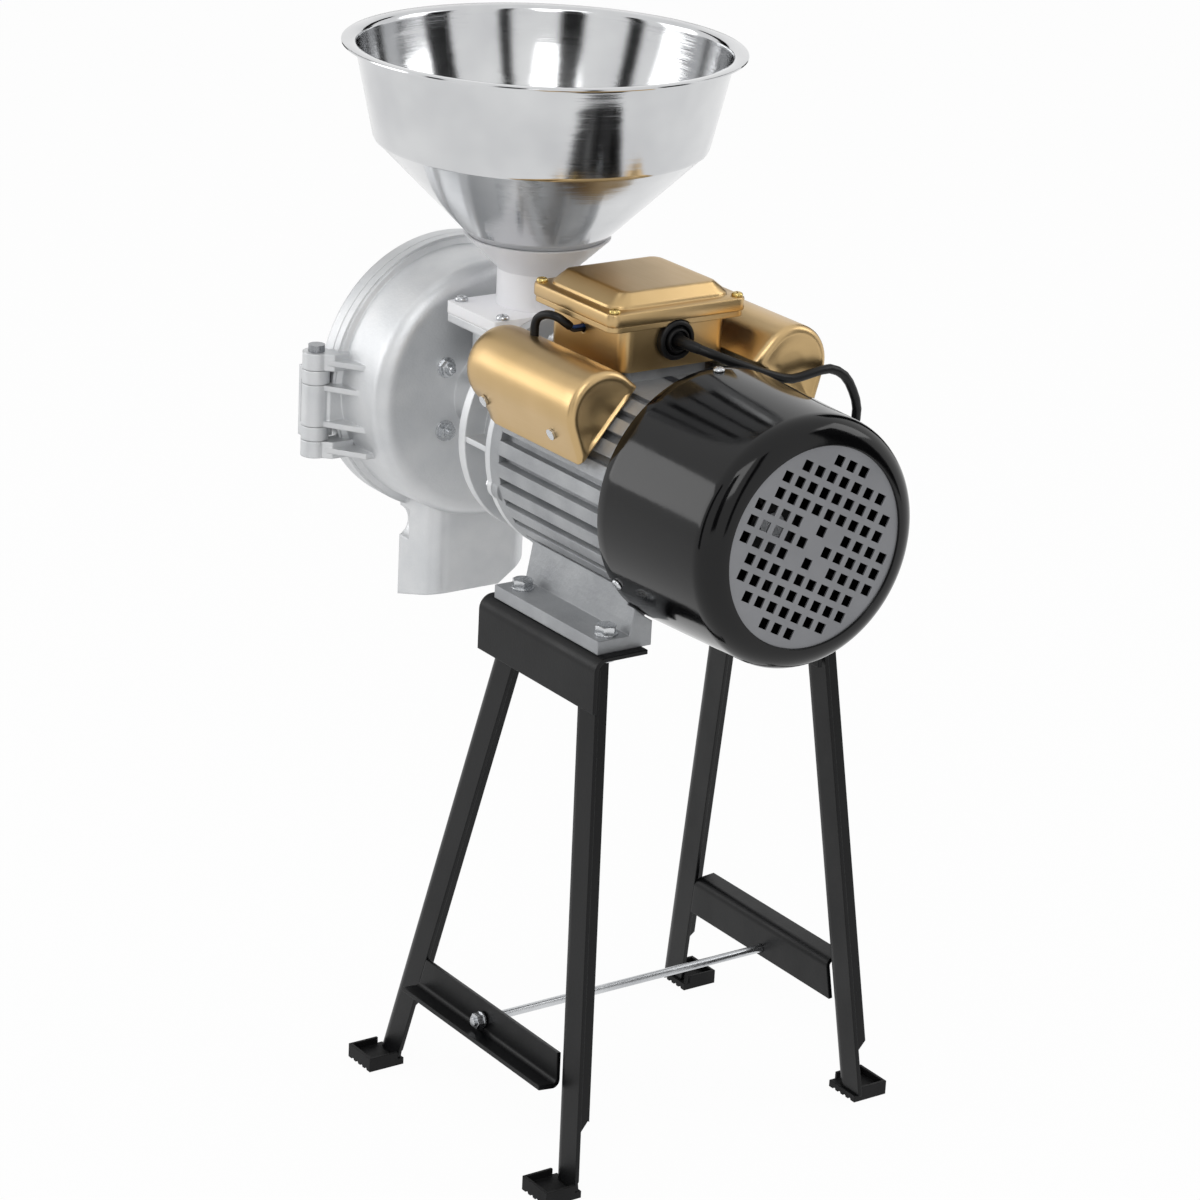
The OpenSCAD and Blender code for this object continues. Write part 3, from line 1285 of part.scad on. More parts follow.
module cup_screws() {
    color("#c4c6c8") on_shaft() translate([inlet_x, 0, plate_top_z + seat_gap]) cup_screw_places() {
        cylinder(r = cup_screw_d * 0.95, h = cup_screw_d * 0.6);
        translate([0, 0, -plate_thickness - throat_flange])
            cylinder(d = cup_screw_d, h = plate_thickness + throat_flange);
    }
}

// Swept tubes: rings carried along a route without twist
function unit(v) = v / norm(v);
function tangent(p, i) = unit(p[min(i + 1, len(p) - 1)] - p[max(i - 1, 0)]);
function carried(p, n, i) = i == len(p) ? [] :
    let(t = tangent(p, i), m = unit(n - (n * t) * t)) concat([m], carried(p, m, i + 1));
function first_side(p) = let(t = tangent(p, 0)) abs(t[2]) < 0.8 ? [0, 0, 1] : [0, 1, 0];
function ring(c, t, m, r, sides) = let(b = cross(t, m))
    [for (k = [0 : sides - 1]) c + r * (cos(360 * k / sides) * m + sin(360 * k / sides) * b)];
module swept(p, r, sides) {
    n = len(p);
    normals = carried(p, first_side(p), 0);
    points = [for (i = [0 : n - 1]) each ring(p[i], tangent(p, i), normals[i], r, sides)];
    walls = [for (i = [0 : n - 2], k = [0 : sides - 1])
        let(a = i * sides + k, b = i * sides + (k + 1) % sides) each [[a, b, a + sides], [b, b + sides, a + sides]]];
    caps = [for (k = [1 : sides - 2]) each [[0, k + 1, k], [(n - 1) * sides, (n - 1) * sides + k, (n - 1) * sides + k + 1]]];
    polyhedron(points, concat(walls, caps));
}
function spline(a, b, c, d, t) = 0.5 * (2 * b + (c - a) * t + (2 * a - 5 * b + 4 * c - d) * t * t
    + (3 * b - a - 3 * c + d) * t * t * t);
// The first and the last stretch of a route run straight
function smooth(p, steps) = let(n = len(p)) concat([for (i = [0 : n - 2], k = [0 : steps - 1])
    i == 0 || i == n - 2 ? p[i] + (p[i + 1] - p[i]) * k / steps :
    spline(p[i - 1], p[i], p[i + 1], p[i + 2], k / steps)], [p[n - 1]]);

// Short lead from the near capacitor's cover into the box, held at both ends
lead_route = [[-116, -66, 88], [-116, -66, 95], [-114, -65, 101], [-107, -63, 105], [-99, -60, 105],
    [-95, -55, 101], [lead_x, -49, lead_hole_z], [lead_x, -40, lead_hole_z]];
module capacitor_lead() color("#161617") on_shaft() swept(smooth(lead_route, 3), lead_d / 2, 10);

// Mains cord: gland, down between the cowl and the far capacitor, a loop behind, then the coil
gland_end_x = box_side_x + seat_gap + gland_out - cord_d;
coil_x = -52;
coil_z = -36.4;
coil_outer_y = 95;
coil_turn_r = 46;
coil_step = 7.4;
coil_layer = 7.4;
coil_turns = 3;
coil_rings = 24;
cord_route = [[gland_end_x, gland_y, gland_z], [gland_end_x + cord_d, gland_y, gland_z],
    [-29, 0.5, 96], [-18, 9, 92.5], [-12, 23, 86.5], [-9, 38, 80.5], [-7.5, 53.5, 74.5], [-6, 69, 70.5],
    [-5.5, 85, 72.5], [-6, 101, 73.5], [-6, 114, 67], [-7, 123, 55], [-8.5, 129, 41], [-9, 127.5, 26],
    [-8.5, 119.5, 13], [-7.5, 109, 1.5], [-6.5, 100, -11],
    [coil_x + coil_turn_r, coil_outer_y, coil_z + 1.5 * cord_d],
    [coil_x + coil_turn_r, coil_outer_y, coil_z + 0.5 * cord_d]];
module mains_cord() color("#141415") on_shaft() swept(smooth(cord_route, 2), cord_d / 2, 10);

// Coil: spirals in over three turns, crosses to the inner layer in half a turn and spirals out
coil_total = 2 * coil_turns + 0.5;
function coil_r(u) = u < coil_turns ? coil_turn_r - coil_step * u :
    u < coil_turns + 0.5 ? coil_turn_r - coil_step * coil_turns :
    coil_turn_r - coil_step * (coil_total - u);
function coil_y(u) = coil_outer_y - coil_layer * min(1, max(0, (u - coil_turns) / 0.5));
function coil_point(u) = [coil_x + coil_r(u) * cos(360 * u), coil_y(u), coil_z - coil_r(u) * sin(360 * u)];
coil_path = concat([coil_point(0) + [0, 0, 0.5 * cord_d]],
    [for (i = [0 : coil_rings * coil_total]) coil_point(i / coil_rings)],
    [coil_point(coil_total) + [0, 0, cord_d]]);
function least_gap(i, j) = norm(coil_path[i] - coil_path[j]) - cord_d;
coil_gaps = [for (i = [0 : len(coil_path) - 1]) for (j = [i + coil_rings / 2 : len(coil_path) - 1]) least_gap(i, j)];
echo(coil_least_gap = min(coil_gaps));
module cord_coil() color("#141415") on_shaft() swept(coil_path, cord_d / 2, 6);

// Tail of the cord and the plug that lies on the coil
coil_exit = coil_path[len(coil_path) - 1];
plug_x = -76;
plug_y = 94;
plug_z = 20;
plug_length = 36;
tail_route = [coil_exit, coil_exit + [0, 0, cord_d], [-95, 88, -12], [-94, 90, 4], [-89, 93, 15],
    [plug_x - cord_d, plug_y, plug_z], [plug_x, plug_y, plug_z]];
module cord_tail() color("#141415") on_shaft() swept(smooth(tail_route, 2), cord_d / 2, 10);
module mains_plug() {
    color("#141415") on_shaft() translate([plug_x, plug_y, plug_z]) {
        along_x(0) cylinder(r1 = cord_d, r2 = plug_half, h = plug_length * 0.4);
        along_x(plug_length * 0.4) cylinder(r = plug_half, h = plug_length * 0.6);
        for (side = [-1, 1]) translate([0, side * plug_half / 2, 0]) along_x(plug_length)
            cylinder(r = plug_pin_r, h = plug_half * 1.6);
    }
}
plug_half = 10;
plug_pin_r = 2;
tie_width = 6;
tie_sheet = 1;
module cord_tie() {
    inner_r = coil_turn_r - coil_step * coil_turns;
    reach = coil_turn_r - inner_r + cord_d + 4 * slide_gap;
    color("#1d1d1e") on_shaft() translate([coil_x, coil_outer_y - coil_layer / 2, coil_z]) rotate([0, 25, 0])
        translate([(coil_turn_r + inner_r) / 2, 0, -tie_width / 2]) linear_extrude(tie_width) difference() {
            rounded_rect(reach + 2 * tie_sheet, coil_layer + cord_d + 4 * slide_gap + 2 * tie_sheet, 2 * tie_sheet);
            rounded_rect(reach, coil_layer + cord_d + 4 * slide_gap, tie_sheet);
        }
}

near_rail();
far_rail();
near_front_leg();
near_rear_leg();
far_front_leg();
far_rear_leg();
near_crossbar();
far_crossbar();
foot_pads();
tie_rod();
tie_rod_nuts();
foot_bolts();
foot_nuts();
motor_feet();
motor_frame();
stator_core();
stator_windings();
front_end_shield();
rear_end_shield();
shaft_bearings();
shaft_seal();
motor_shaft();
rotor_core();
governor();
contact_plate();
cooling_fan();
fan_cowl();
fan_grille();
cowl_screws();
terminal_box();
terminal_lid();
lid_screws();
terminal_block();
cable_gland();
capacitors();
near_capacitor_cover();
far_capacitor_cover();
cover_screws();
capacitor_lead();
mains_cord();
cord_coil();
cord_tail();
cord_tie();
mains_plug();
mill_housing();
bell_bolts();
fixed_burr();
burr_bolts();
moving_burr();
feed_auger();
door();
hinge_pin();
swing_bolt();
swing_pin();
wing_nut();
thrust_pad();
adjusting_screw();
inlet_cup();
cup_screws();
hopper();
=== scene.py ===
"""Electric grain mill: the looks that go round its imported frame. Lengths are metres, +Z is up."""

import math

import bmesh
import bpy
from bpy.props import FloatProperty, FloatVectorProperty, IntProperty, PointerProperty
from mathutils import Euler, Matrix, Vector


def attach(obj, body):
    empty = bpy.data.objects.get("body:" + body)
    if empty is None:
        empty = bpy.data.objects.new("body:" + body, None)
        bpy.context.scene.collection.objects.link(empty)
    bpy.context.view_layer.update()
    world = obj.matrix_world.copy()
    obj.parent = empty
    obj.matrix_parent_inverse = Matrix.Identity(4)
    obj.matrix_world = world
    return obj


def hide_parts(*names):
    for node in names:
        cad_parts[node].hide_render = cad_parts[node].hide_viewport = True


bl_info = {
    "name": "Electric grain mill",
    "version": (1, 0, 0),
    "blender": (4, 5, 0),
    "location": "View3D > Sidebar > Grain mill",
    "description": "Builds the dressed grain mill round its construction frame",
    "category": "Object",
}

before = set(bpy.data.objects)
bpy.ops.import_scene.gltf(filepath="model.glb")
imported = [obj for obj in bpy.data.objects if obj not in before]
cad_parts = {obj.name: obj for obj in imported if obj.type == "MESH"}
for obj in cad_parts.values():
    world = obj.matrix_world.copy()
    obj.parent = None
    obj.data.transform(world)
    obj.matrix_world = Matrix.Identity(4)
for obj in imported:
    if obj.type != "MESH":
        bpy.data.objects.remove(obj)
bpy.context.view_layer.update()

# Places are measured in millimetres from the cowl's front edge, on the shaft's axis
SHAFT_HEIGHT = 459.7
MIDDLE_X = -131.85
HOPPER_AXIS = -214.6


def at(x, y, z):
    """A point given from the shaft axis in millimetres, in the frame's metres."""
    return Vector(((x - MIDDLE_X) / 1000, y / 1000, (z + SHAFT_HEIGHT) / 1000))


def linear(hex_colour, alpha=True):
    """An sRGB hex colour as linear numbers."""
    value = hex_colour.lstrip("#")
    out = []
    for i in (0, 2, 4):
        c = int(value[i:i + 2], 16) / 255
        out.append(c / 12.92 if c <= 0.04045 else ((c + 0.055) / 1.055) ** 2.4)
    return (*out, 1.0) if alpha else tuple(out)


def colour_setting(name, description, hex_colour):
    return FloatVectorProperty(name=name, description=description, subtype="COLOR", size=3,
                               min=0, max=1, default=linear(hex_colour, alpha=False))


def length_setting(name, description, millimetres):
    return FloatProperty(name=name, description=description, subtype="DISTANCE", unit="LENGTH",
                         min=0, default=millimetres / 1000)


# Materials

def feed(tree, socket, value):
    """Sets an input to a value, or links it to another node's output."""
    if isinstance(value, bpy.types.NodeSocket):
        tree.links.new(value, socket)
    else:
        socket.default_value = value


def add_node(tree, kind, inputs=None, **settings):
    """One node with its settings; an input is a value or another node's output."""
    node = tree.nodes.new(kind)
    for name, value in settings.items():
        setattr(node, name, value)
    for name, value in (inputs or {}).items():
        feed(tree, node.inputs[name], value)
    return node


def new_material(name):
    """A material with its tree, its shader and the coordinates that its patterns follow."""
    material = bpy.data.materials.new(name)
    material.use_nodes = True
    tree = material.node_tree
    tree.nodes.clear()
    shader = add_node(tree, "ShaderNodeBsdfPrincipled")
    add_node(tree, "ShaderNodeOutputMaterial", {"Surface": shader.outputs[0]})
    coords = add_node(tree, "ShaderNodeTexCoord").outputs["Object"]
    return material, tree, shader, coords


def set_shader(tree, shader, **values):
    for name, value in values.items():
        feed(tree, shader.inputs[name.replace("_", " ")], value)


def grain(tree, coords, sizes_mm, detail, rough=0.5):
    """A random pattern whose grains have the given sizes along X, Y and Z."""
    sized = add_node(tree, "ShaderNodeMapping", {"Vector": coords, "Scale": [1000 / s for s in sizes_mm]},
                     vector_type="POINT")
    return add_node(tree, "ShaderNodeTexNoise", {"Vector": sized.outputs[0], "Scale": 1.0, "Detail": detail,
                                                 "Roughness": rough}).outputs["Fac"]


def dress(tree, shader, tone, colours, gloss, rough_range):
    """Colour that follows one pattern between two hex colours, and roughness that follows another."""
    # A random pattern keeps mostly to the middle of its range, so the middle is spread over the whole
    low, high = 0.3, 0.7
    share, rough = (add_node(tree, "ShaderNodeMapRange", {
        "Value": pattern, "From Min": low, "From Max": high, "To Min": start, "To Max": end}).outputs[0]
        for pattern, (start, end) in ((tone, (0, 1)), (gloss, rough_range)))
    first, second = (linear(c) for c in colours)
    mix = add_node(tree, "ShaderNodeMix", {"Factor": share, "A": first, "B": second}, data_type="RGBA")
    set_shader(tree, shader, Base_Color=mix.outputs["Result"], Roughness=rough)


def relief(tree, shader, height, depth_mm, edge_mm=0.0):
    """A bump of the given depth, over edges that catch the light as if rounded."""
    inputs = {"Height": height, "Distance": depth_mm / 1000, "Strength": 1.0}
    if edge_mm:
        inputs["Normal"] = add_node(tree, "ShaderNodeBevel", {"Radius": edge_mm / 1000}, samples=6).outputs[0]
    set_shader(tree, shader, Normal=add_node(tree, "ShaderNodeBump", inputs).outputs[0])


def painted(name, first, second, rough, grain_mm, depth_mm, edge_mm=0.6, smear=0.06, metal=0.0, sheen=0.5):
    """Paint or enamel: slow colour drift, faint smears in the gloss and a fine skin in the bump."""
    material, tree, shader, coords = new_material(name)
    drift = grain(tree, coords, (60, 60, 60), 3)
    fine_skin = grain(tree, coords, (grain_mm,) * 3, 2)
    smears = grain(tree, coords, (35, 35, 55), 4, 0.6)
    dress(tree, shader, drift, (first, second), smears, (rough - smear, rough + smear))
    set_shader(tree, shader, Metallic=metal, Specular_IOR_Level=sheen)
    relief(tree, shader, fine_skin, depth_mm, edge_mm)
    return material


def brushed(name, first, second, rough, sizes_mm, depth_mm, edge_mm=0.5, streaks=0.06):
    """Brushed metal: long fine lines across the sizes given, in the gloss and in the bump."""
    material, tree, shader, coords = new_material(name)
    lines = grain(tree, coords, sizes_mm, 3, 0.6)
    cloud = grain(tree, coords, (45, 45, 45), 2)
    dress(tree, shader, cloud, (first, second), lines, (rough - streaks, rough + streaks))
    set_shader(tree, shader, Metallic=1.0)
    relief(tree, shader, lines, depth_mm, edge_mm)
    return material


def cast(name, first, second, rough, grain_mm, depth_mm, metal, edge_mm=1.2):
    """Cast or blasted metal: a sandy skin, clouds of tone and a little dust in the gloss."""
    material, tree, shader, coords = new_material(name)
    sand = grain(tree, coords, (grain_mm,) * 3, 4, 0.65)
    cloud = grain(tree, coords, (28, 28, 28), 3)
    speck = add_node(tree, "ShaderNodeTexVoronoi", {"Vector": coords, "Scale": 1000 / (3 * grain_mm)})
    mixed = add_node(tree, "ShaderNodeMath", {0: sand, 1: speck.outputs["Distance"]}, operation="ADD")
    dress(tree, shader, cloud, (first, second), sand, (rough - 0.08, rough + 0.1))
    set_shader(tree, shader, Metallic=metal)
    relief(tree, shader, mixed.outputs[0], depth_mm, edge_mm)
    return material


def steel_paint():
    """Black powder coat on folded mild steel: satin, faintly pebbled, grey where light rakes it."""
    return painted("Powder coated steel", "#08080a", "#0d0e0f", rough=0.38, grain_mm=1.6, depth_mm=0.05,
                   edge_mm=1.2, smear=0.07, sheen=0.22)


def cowl_enamel():
    """Gloss black enamel on deep drawn steel: wet looking, with a slow waviness."""
    return painted("Gloss enamel", "#060607", "#0a0a0b", rough=0.11, grain_mm=9.0, depth_mm=0.03,
                   edge_mm=0.6, smear=0.03, sheen=0.3)


def motor_casting():
    """Silver paint over a sand cast aluminium frame: dull and rough to the touch."""
    return cast("Painted casting", "#999b9e", "#acaeb0", rough=0.52, grain_mm=1.1, depth_mm=0.16,
                metal=0.55)


def mill_casting():
    """Bead blasted cast aluminium: pale, matt and finely grained, with soft clouds of tone."""
    return cast("Blasted aluminium", "#cfd1d3", "#dcddde", rough=0.48, grain_mm=0.7, depth_mm=0.07,
                metal=0.8, edge_mm=1.6)


def hopper_steel():
    """Spun stainless steel: near mirror, with turning lines that run round the cone."""
    material, tree, shader, coords = new_material("Spun stainless")
    centred = add_node(tree, "ShaderNodeMapping", vector_type="POINT", inputs={
        "Vector": coords, "Location": (-at(HOPPER_AXIS, 0, 0).x, 0, 0)})
    x, y, z = add_node(tree, "ShaderNodeSeparateXYZ", {0: centred.outputs[0]}).outputs
    turn = add_node(tree, "ShaderNodeMath", {0: y, 1: x}, operation="ARCTAN2").outputs[0]

    def bands(height_mm, detail, rough):
        """A pattern that changes up the cone, in bands of the given height, and barely round it."""
        level = add_node(tree, "ShaderNodeMath", {0: z, 1: 1000 / height_mm}, operation="MULTIPLY").outputs[0]
        place = add_node(tree, "ShaderNodeCombineXYZ", {0: turn, 2: level}).outputs[0]
        return add_node(tree, "ShaderNodeTexNoise", {"Vector": place, "Scale": 1.0, "Detail": detail,
                                                     "Roughness": rough}).outputs["Fac"]

    # The turning lines are drawn coarser than real ones so that they show
    lines, waves = bands(0.7, 3, 0.6), bands(14, 2, 0.5)
    faint = add_node(tree, "ShaderNodeMath", {0: lines, 1: 0.15}, operation="MULTIPLY").outputs[0]
    mixed = add_node(tree, "ShaderNodeMath", {0: faint, 1: waves}, operation="ADD").outputs[0]
    dress(tree, shader, grain(tree, coords, (50, 50, 50), 2), ("#c3c4c6", "#d2d3d4"), lines, (0.07, 0.14))
    set_shader(tree, shader, Metallic=1.0)
    relief(tree, shader, mixed, 0.25)
    return material


def gold_steel():
    """Gold lacquer over brushed steel: satin, warm, with lines along the motor."""
    return brushed("Gold lacquered steel", "#bfa272", "#c9ac7e", rough=0.33, sizes_mm=(40, 1.2, 1.2),
                   depth_mm=0.008, edge_mm=1.2, streaks=0.03)


def zinc_plate():
    """Bright zinc on turned steel: silver, a little cloudy."""
    return brushed("Zinc plated steel", "#b9bbbe", "#cfd1d3", rough=0.27, sizes_mm=(3, 3, 1.2),
                   depth_mm=0.03, edge_mm=0.5)


def brass_plate():
    """Yellow passivated screws: brassy and bright."""
    return brushed("Yellow zinc", "#c3a761", "#d6bf80", rough=0.25, sizes_mm=(2, 2, 1), depth_mm=0.03,
                   edge_mm=0.4)


def grille_metal():
    """Silver painted perforated sheet: smooth, slightly sparkling."""
    return painted("Silver painted sheet", "#7f8083", "#8b8c8f", rough=0.38, grain_mm=0.5, depth_mm=0.03,
                   edge_mm=0.25, smear=0.05, metal=0.6)


def milky_plastic():
    """Moulded polypropylene: milky, light passes a few millimetres into it."""
    material, tree, shader, coords = new_material("Milky polypropylene")
    drift = grain(tree, coords, (40, 40, 40), 2)
    dress(tree, shader, drift, ("#ececf0", "#f4f4f6"), drift, (0.36, 0.44))
    set_shader(tree, shader, Subsurface_Weight=0.5, Subsurface_Scale=0.004, Subsurface_Radius=(1.0, 1.0, 1.0))
    relief(tree, shader, grain(tree, coords, (2, 2, 2), 2), 0.02, 0.8)
    return material


def wire_sheath(hex_colour):
    """PVC round a thin wire: smooth, slightly glossy."""
    return painted("Wire sheath", hex_colour, hex_colour, rough=0.3, grain_mm=1.0, depth_mm=0.02,
                   edge_mm=0.0, smear=0.04)


def rubber():
    """Moulded black rubber: matt, dusty, soft edged."""
    return painted("Moulded rubber", "#0e0e0f", "#151516", rough=0.62, grain_mm=1.0, depth_mm=0.06,
                   edge_mm=0.8, smear=0.08, sheen=0.2)


def cord_sheath():
    """Black PVC sheath: smooth satin with a faint leathery skin."""
    return painted("PVC sheath", "#0c0c0d", "#111112", rough=0.38, grain_mm=1.5, depth_mm=0.03, edge_mm=0.0,
                   smear=0.05, sheen=0.25)


def gland_plastic():
    """Moulded black nylon: satin with a fine texture."""
    return painted("Moulded nylon", "#0b0b0c", "#101011", rough=0.4, grain_mm=0.8, depth_mm=0.04,
                   edge_mm=0.5, smear=0.06, sheen=0.25)


def ground_steel():
    """Ground and oiled steel: grey with fine grinding lines."""
    return brushed("Ground steel", "#8f9194", "#a5a7aa", rough=0.3, sizes_mm=(1.0, 6, 6), depth_mm=0.03,
                   edge_mm=0.4)


def laminated_iron():
    """Stacked iron sheets with grey varnish."""
    return brushed("Laminated iron", "#5e6066", "#6f7278", rough=0.45, sizes_mm=(0.7, 30, 30),
                   depth_mm=0.06, edge_mm=0.3)


def enamelled_copper():
    """Copper wire under red-brown enamel, wound in a bundle."""
    return brushed("Enamelled copper", "#8f4a24", "#b0622c", rough=0.35, sizes_mm=(1.2, 8, 1.2),
                   depth_mm=0.2, edge_mm=0.0)


def cream_plastic():
    """Moulded cream thermoset: slightly glossy, flecked."""
    return painted("Cream thermoset", "#dcd5c3", "#e6e0cf", rough=0.4, grain_mm=0.9, depth_mm=0.04,
                   edge_mm=0.5)


def bronze():
    """Bearing bronze: warm, turned."""
    return brushed("Bearing bronze", "#a97c3e", "#bd9050", rough=0.32, sizes_mm=(2, 2, 2), depth_mm=0.03,
                   edge_mm=0.4)


# Meshes

def placed(name, data):
    """A new object in the scene."""
    thing = bpy.data.objects.new(name, data)
    bpy.context.scene.collection.objects.link(thing)
    return thing


def coat(mesh, material):
    """One material for all of a mesh."""
    mesh.materials.clear()
    mesh.materials.append(material)
    for face in mesh.polygons:
        face.material_index = 0


def finished(name, mesh, material, body="base", replaced=(), smooth_angle=35):
    """A finished piece: smooth where its faces meet softly, with its material and body."""
    piece = placed(name, mesh)
    coat(mesh, material)
    for face in mesh.polygons:
        face.use_smooth = True
    mesh.set_sharp_from_angle(angle=math.radians(smooth_angle))
    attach(piece, body)
    if replaced:
        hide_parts(*replaced)


def mesh_from(bm, name, weld=1e-6):
    bmesh.ops.remove_doubles(bm, verts=bm.verts, dist=weld)
    bmesh.ops.recalc_face_normals(bm, faces=bm.faces)
    mesh = bpy.data.meshes.new(name)
    bm.to_mesh(mesh)
    bm.free()
    return mesh


def skin(bm, rings, closed_rows=False):
    """Faces between rings that hold the same number of points; gives the rings' vertices."""
    rows = [[bm.verts.new(p) for p in ring] for ring in rings]
    count = len(rows[0])
    for low, high in zip(rows, rows[1:] + rows[:1] if closed_rows else rows[1:]):
        for i in range(count):
            j = (i + 1) % count
            bm.faces.new((low[i], low[j], high[j], high[i]))
    return rows


def loft(rings, name, weld=1e-6):
    """A closed mesh through rings of points, with its first and last ring capped."""
    bm = bmesh.new()
    rows = skin(bm, rings)
    bm.faces.new(rows[0])
    bm.faces.new(rows[-1])
    return mesh_from(bm, name, weld)


def revolved(profile, centre, axis, steps, name):
    """A mesh from a profile of (radius, height) points in millimetres, turned round an axis."""
    u = Vector((0, 1, 0)) if axis == "X" else Vector((1, 0, 0))
    w = Vector((1, 0, 0)) if axis == "X" else Vector((0, 0, 1))
    v = w.cross(u)
    rings = []
    for k in range(steps):
        a = 2 * math.pi * k / steps
        side = u * math.cos(a) + v * math.sin(a)
        rings.append([centre + (side * r + w * h) / 1000 for r, h in profile])
    bm = bmesh.new()
    skin(bm, rings, closed_rows=True)
    return mesh_from(bm, name)


def swept(path, radii, sides, name):
    """A closed tube along a path, with a radius for each point."""
    last = len(path) - 1
    normal = (path[1] - path[0]).normalized().orthogonal().normalized()
    turns = [2 * math.pi * k / sides for k in range(sides)]
    rings = []
    for i, (p, radius) in enumerate(zip(path, radii)):
        tangent = (path[min(i + 1, last)] - path[max(i - 1, 0)]).normalized()
        normal = (normal - tangent * normal.dot(tangent)).normalized()
        other = tangent.cross(normal)
        rings.append([p + (normal * math.cos(a) + other * math.sin(a)) * radius for a in turns])
    return loft(rings, name)


def arc(centre, radius, start, end, steps):
    """Points of an arc, angles in degrees."""
    turns = [math.radians(start + (end - start) * k / steps) for k in range(steps + 1)]
    return [(centre[0] + radius * math.cos(a), centre[1] + radius * math.sin(a)) for a in turns]


def spline(points, steps):
    """Points along a smooth line through the given ones; the first and last stretches run straight."""
    out = []
    last = len(points) - 1
    for i in range(last):
        b, c = points[i], points[i + 1]
        a, d = points[max(i - 1, 0)], points[min(i + 2, last)]
        for k in range(steps):
            t = k / steps
            if i in (0, last - 1):
                out.append(b + (c - b) * t)
            else:
                out.append(0.5 * (2 * b + (c - a) * t + (2 * a - 5 * b + 4 * c - d) * t * t
                                  + (3 * b - a - 3 * c + d) * t ** 3))
    return out + [points[-1]]


# Geometry Nodes

def scatter_tree():
    """A tree that puts a copy of a piece on each point, turned by its attribute, and its inputs' keys."""
    tree = bpy.data.node_groups.new("Fasteners on points", "GeometryNodeTree")
    face = tree.interface
    keys = {name: face.new_socket(name=name, in_out="INPUT", socket_type="NodeSocket" + kind).identifier
            for name, kind in (("Places", "Geometry"), ("Piece", "Object"), ("Size", "Float"),
                               ("Material", "Material"))}
    face.new_socket(name="Pieces", in_out="OUTPUT", socket_type="NodeSocketGeometry")
    start = tree.nodes.new("NodeGroupInput").outputs
    turn = add_node(tree, "GeometryNodeInputNamedAttribute", {"Name": "turn"}, data_type="FLOAT_VECTOR")
    turned = add_node(tree, "FunctionNodeEulerToRotation", {0: turn.outputs["Attribute"]})
    info = add_node(tree, "GeometryNodeObjectInfo", {"Object": start["Piece"], "As Instance": True})
    spots = add_node(tree, "GeometryNodeInstanceOnPoints", {
        "Points": start["Places"], "Instance": info.outputs["Geometry"], "Rotation": turned.outputs[0],
        "Scale": start["Size"]})
    real = add_node(tree, "GeometryNodeRealizeInstances", {0: spots.outputs[0]})
    coated = add_node(tree, "GeometryNodeSetMaterial", {0: real.outputs[0], "Material": start["Material"]})
    add_node(tree, "NodeGroupOutput", {0: coated.outputs[0]})
    return tree, keys


def baked_modifier(holder, tree, values, name):
    """Runs a node tree on an object and gives the result as a plain mesh."""
    modifier = holder.modifiers.new("Pattern", "NODES")
    modifier.node_group = tree
    for key, value in values.items():
        modifier[key] = value
    bpy.context.view_layer.update()
    graph = bpy.context.evaluated_depsgraph_get()
    mesh = bpy.data.meshes.new_from_object(holder.evaluated_get(graph))
    mesh.name = name
    holder.modifiers.remove(modifier)
    bpy.data.objects.remove(holder)
    return mesh


def scattered(name, pattern_mesh, places, material, size=1.0):
    """A mesh of copies of one fastener: each place is (point, direction it faces, spin in degrees)."""
    points = bpy.data.meshes.new(name + " places")
    points.from_pydata([tuple(p) for p, _, _ in places], [], [])
    turns = points.attributes.new("turn", "FLOAT_VECTOR", "POINT")
    for i, (_, facing, spin) in enumerate(places):
        turn = Vector(facing).to_track_quat("Z", "Y") @ Euler((0, 0, math.radians(spin))).to_quaternion()
        turns.data[i].vector = turn.to_euler()
    holder = placed(name + " holder", points)
    pattern = placed(name + " pattern", pattern_mesh)
    tree, keys = scatter_tree()
    values = {keys["Piece"]: pattern, keys["Size"]: size, keys["Material"]: material}
    mesh = baked_modifier(holder, tree, values, name)
    bpy.data.objects.remove(pattern)
    return mesh


# Stage

# Angles of the view in degrees, the lens in millimetres and its lift as a share of the picture's width
VIEW_AZIMUTH, VIEW_ELEVATION, VIEW_ROLL = 54.5, 19.9, 2.9
VIEW_LENS, VIEW_SENSOR, VIEW_LIFT = 117.3, 36, -0.005
VIEW_PLACE = at(1971.5, -1490.2, 821.0)
WHITE = (1, 1, 1, 1)
# In metres: half the floor's side, and how far below the feet it lies; its glow as a share of what is seen
FLOOR_HALF, FLOOR_DROP, FLOOR_GLOW = 6, 0.0005, 0.96
# How bright the surroundings are as light on the mill, and where they are seen or mirrored
SOFT_LIGHT, SEEN_LIGHT = 0.55, 1.0
LAMP_TARGET = at(-110, 0, -60)
# Name, place and size in metres, and share of the lamp power
LAMPS = (("Key", (1.5, -1.5, 2.2), 1.4, 1.0), ("Side", (-1.6, -1.9, 1.2), 1.2, 0.55),
         ("Rear", (1.1, 1.9, 1.7), 1.2, 0.5))
# Turn from the camera's bearing in degrees, then width, foot and top of each flag in metres
FLAGS = ((-62, 0.32, 0.2, 1.9), (-18, 0.5, 0.6, 2.2), (28, 0.26, 0.3, 2.2), (78, 0.6, 0.1, 1.7),
         (150, 0.5, 0.3, 2.0), (215, 0.5, 0.3, 2.0))
FLAG_DISTANCE = 1.7


class StageSettings(bpy.types.PropertyGroup):
    floor_colour: colour_setting("Floor colour", "Colour of the pale floor", "#f4f4f4")
    lamp_power: FloatProperty(name="Lamp power", description="Power of the large front lamp", default=20,
                              min=0, unit="POWER")


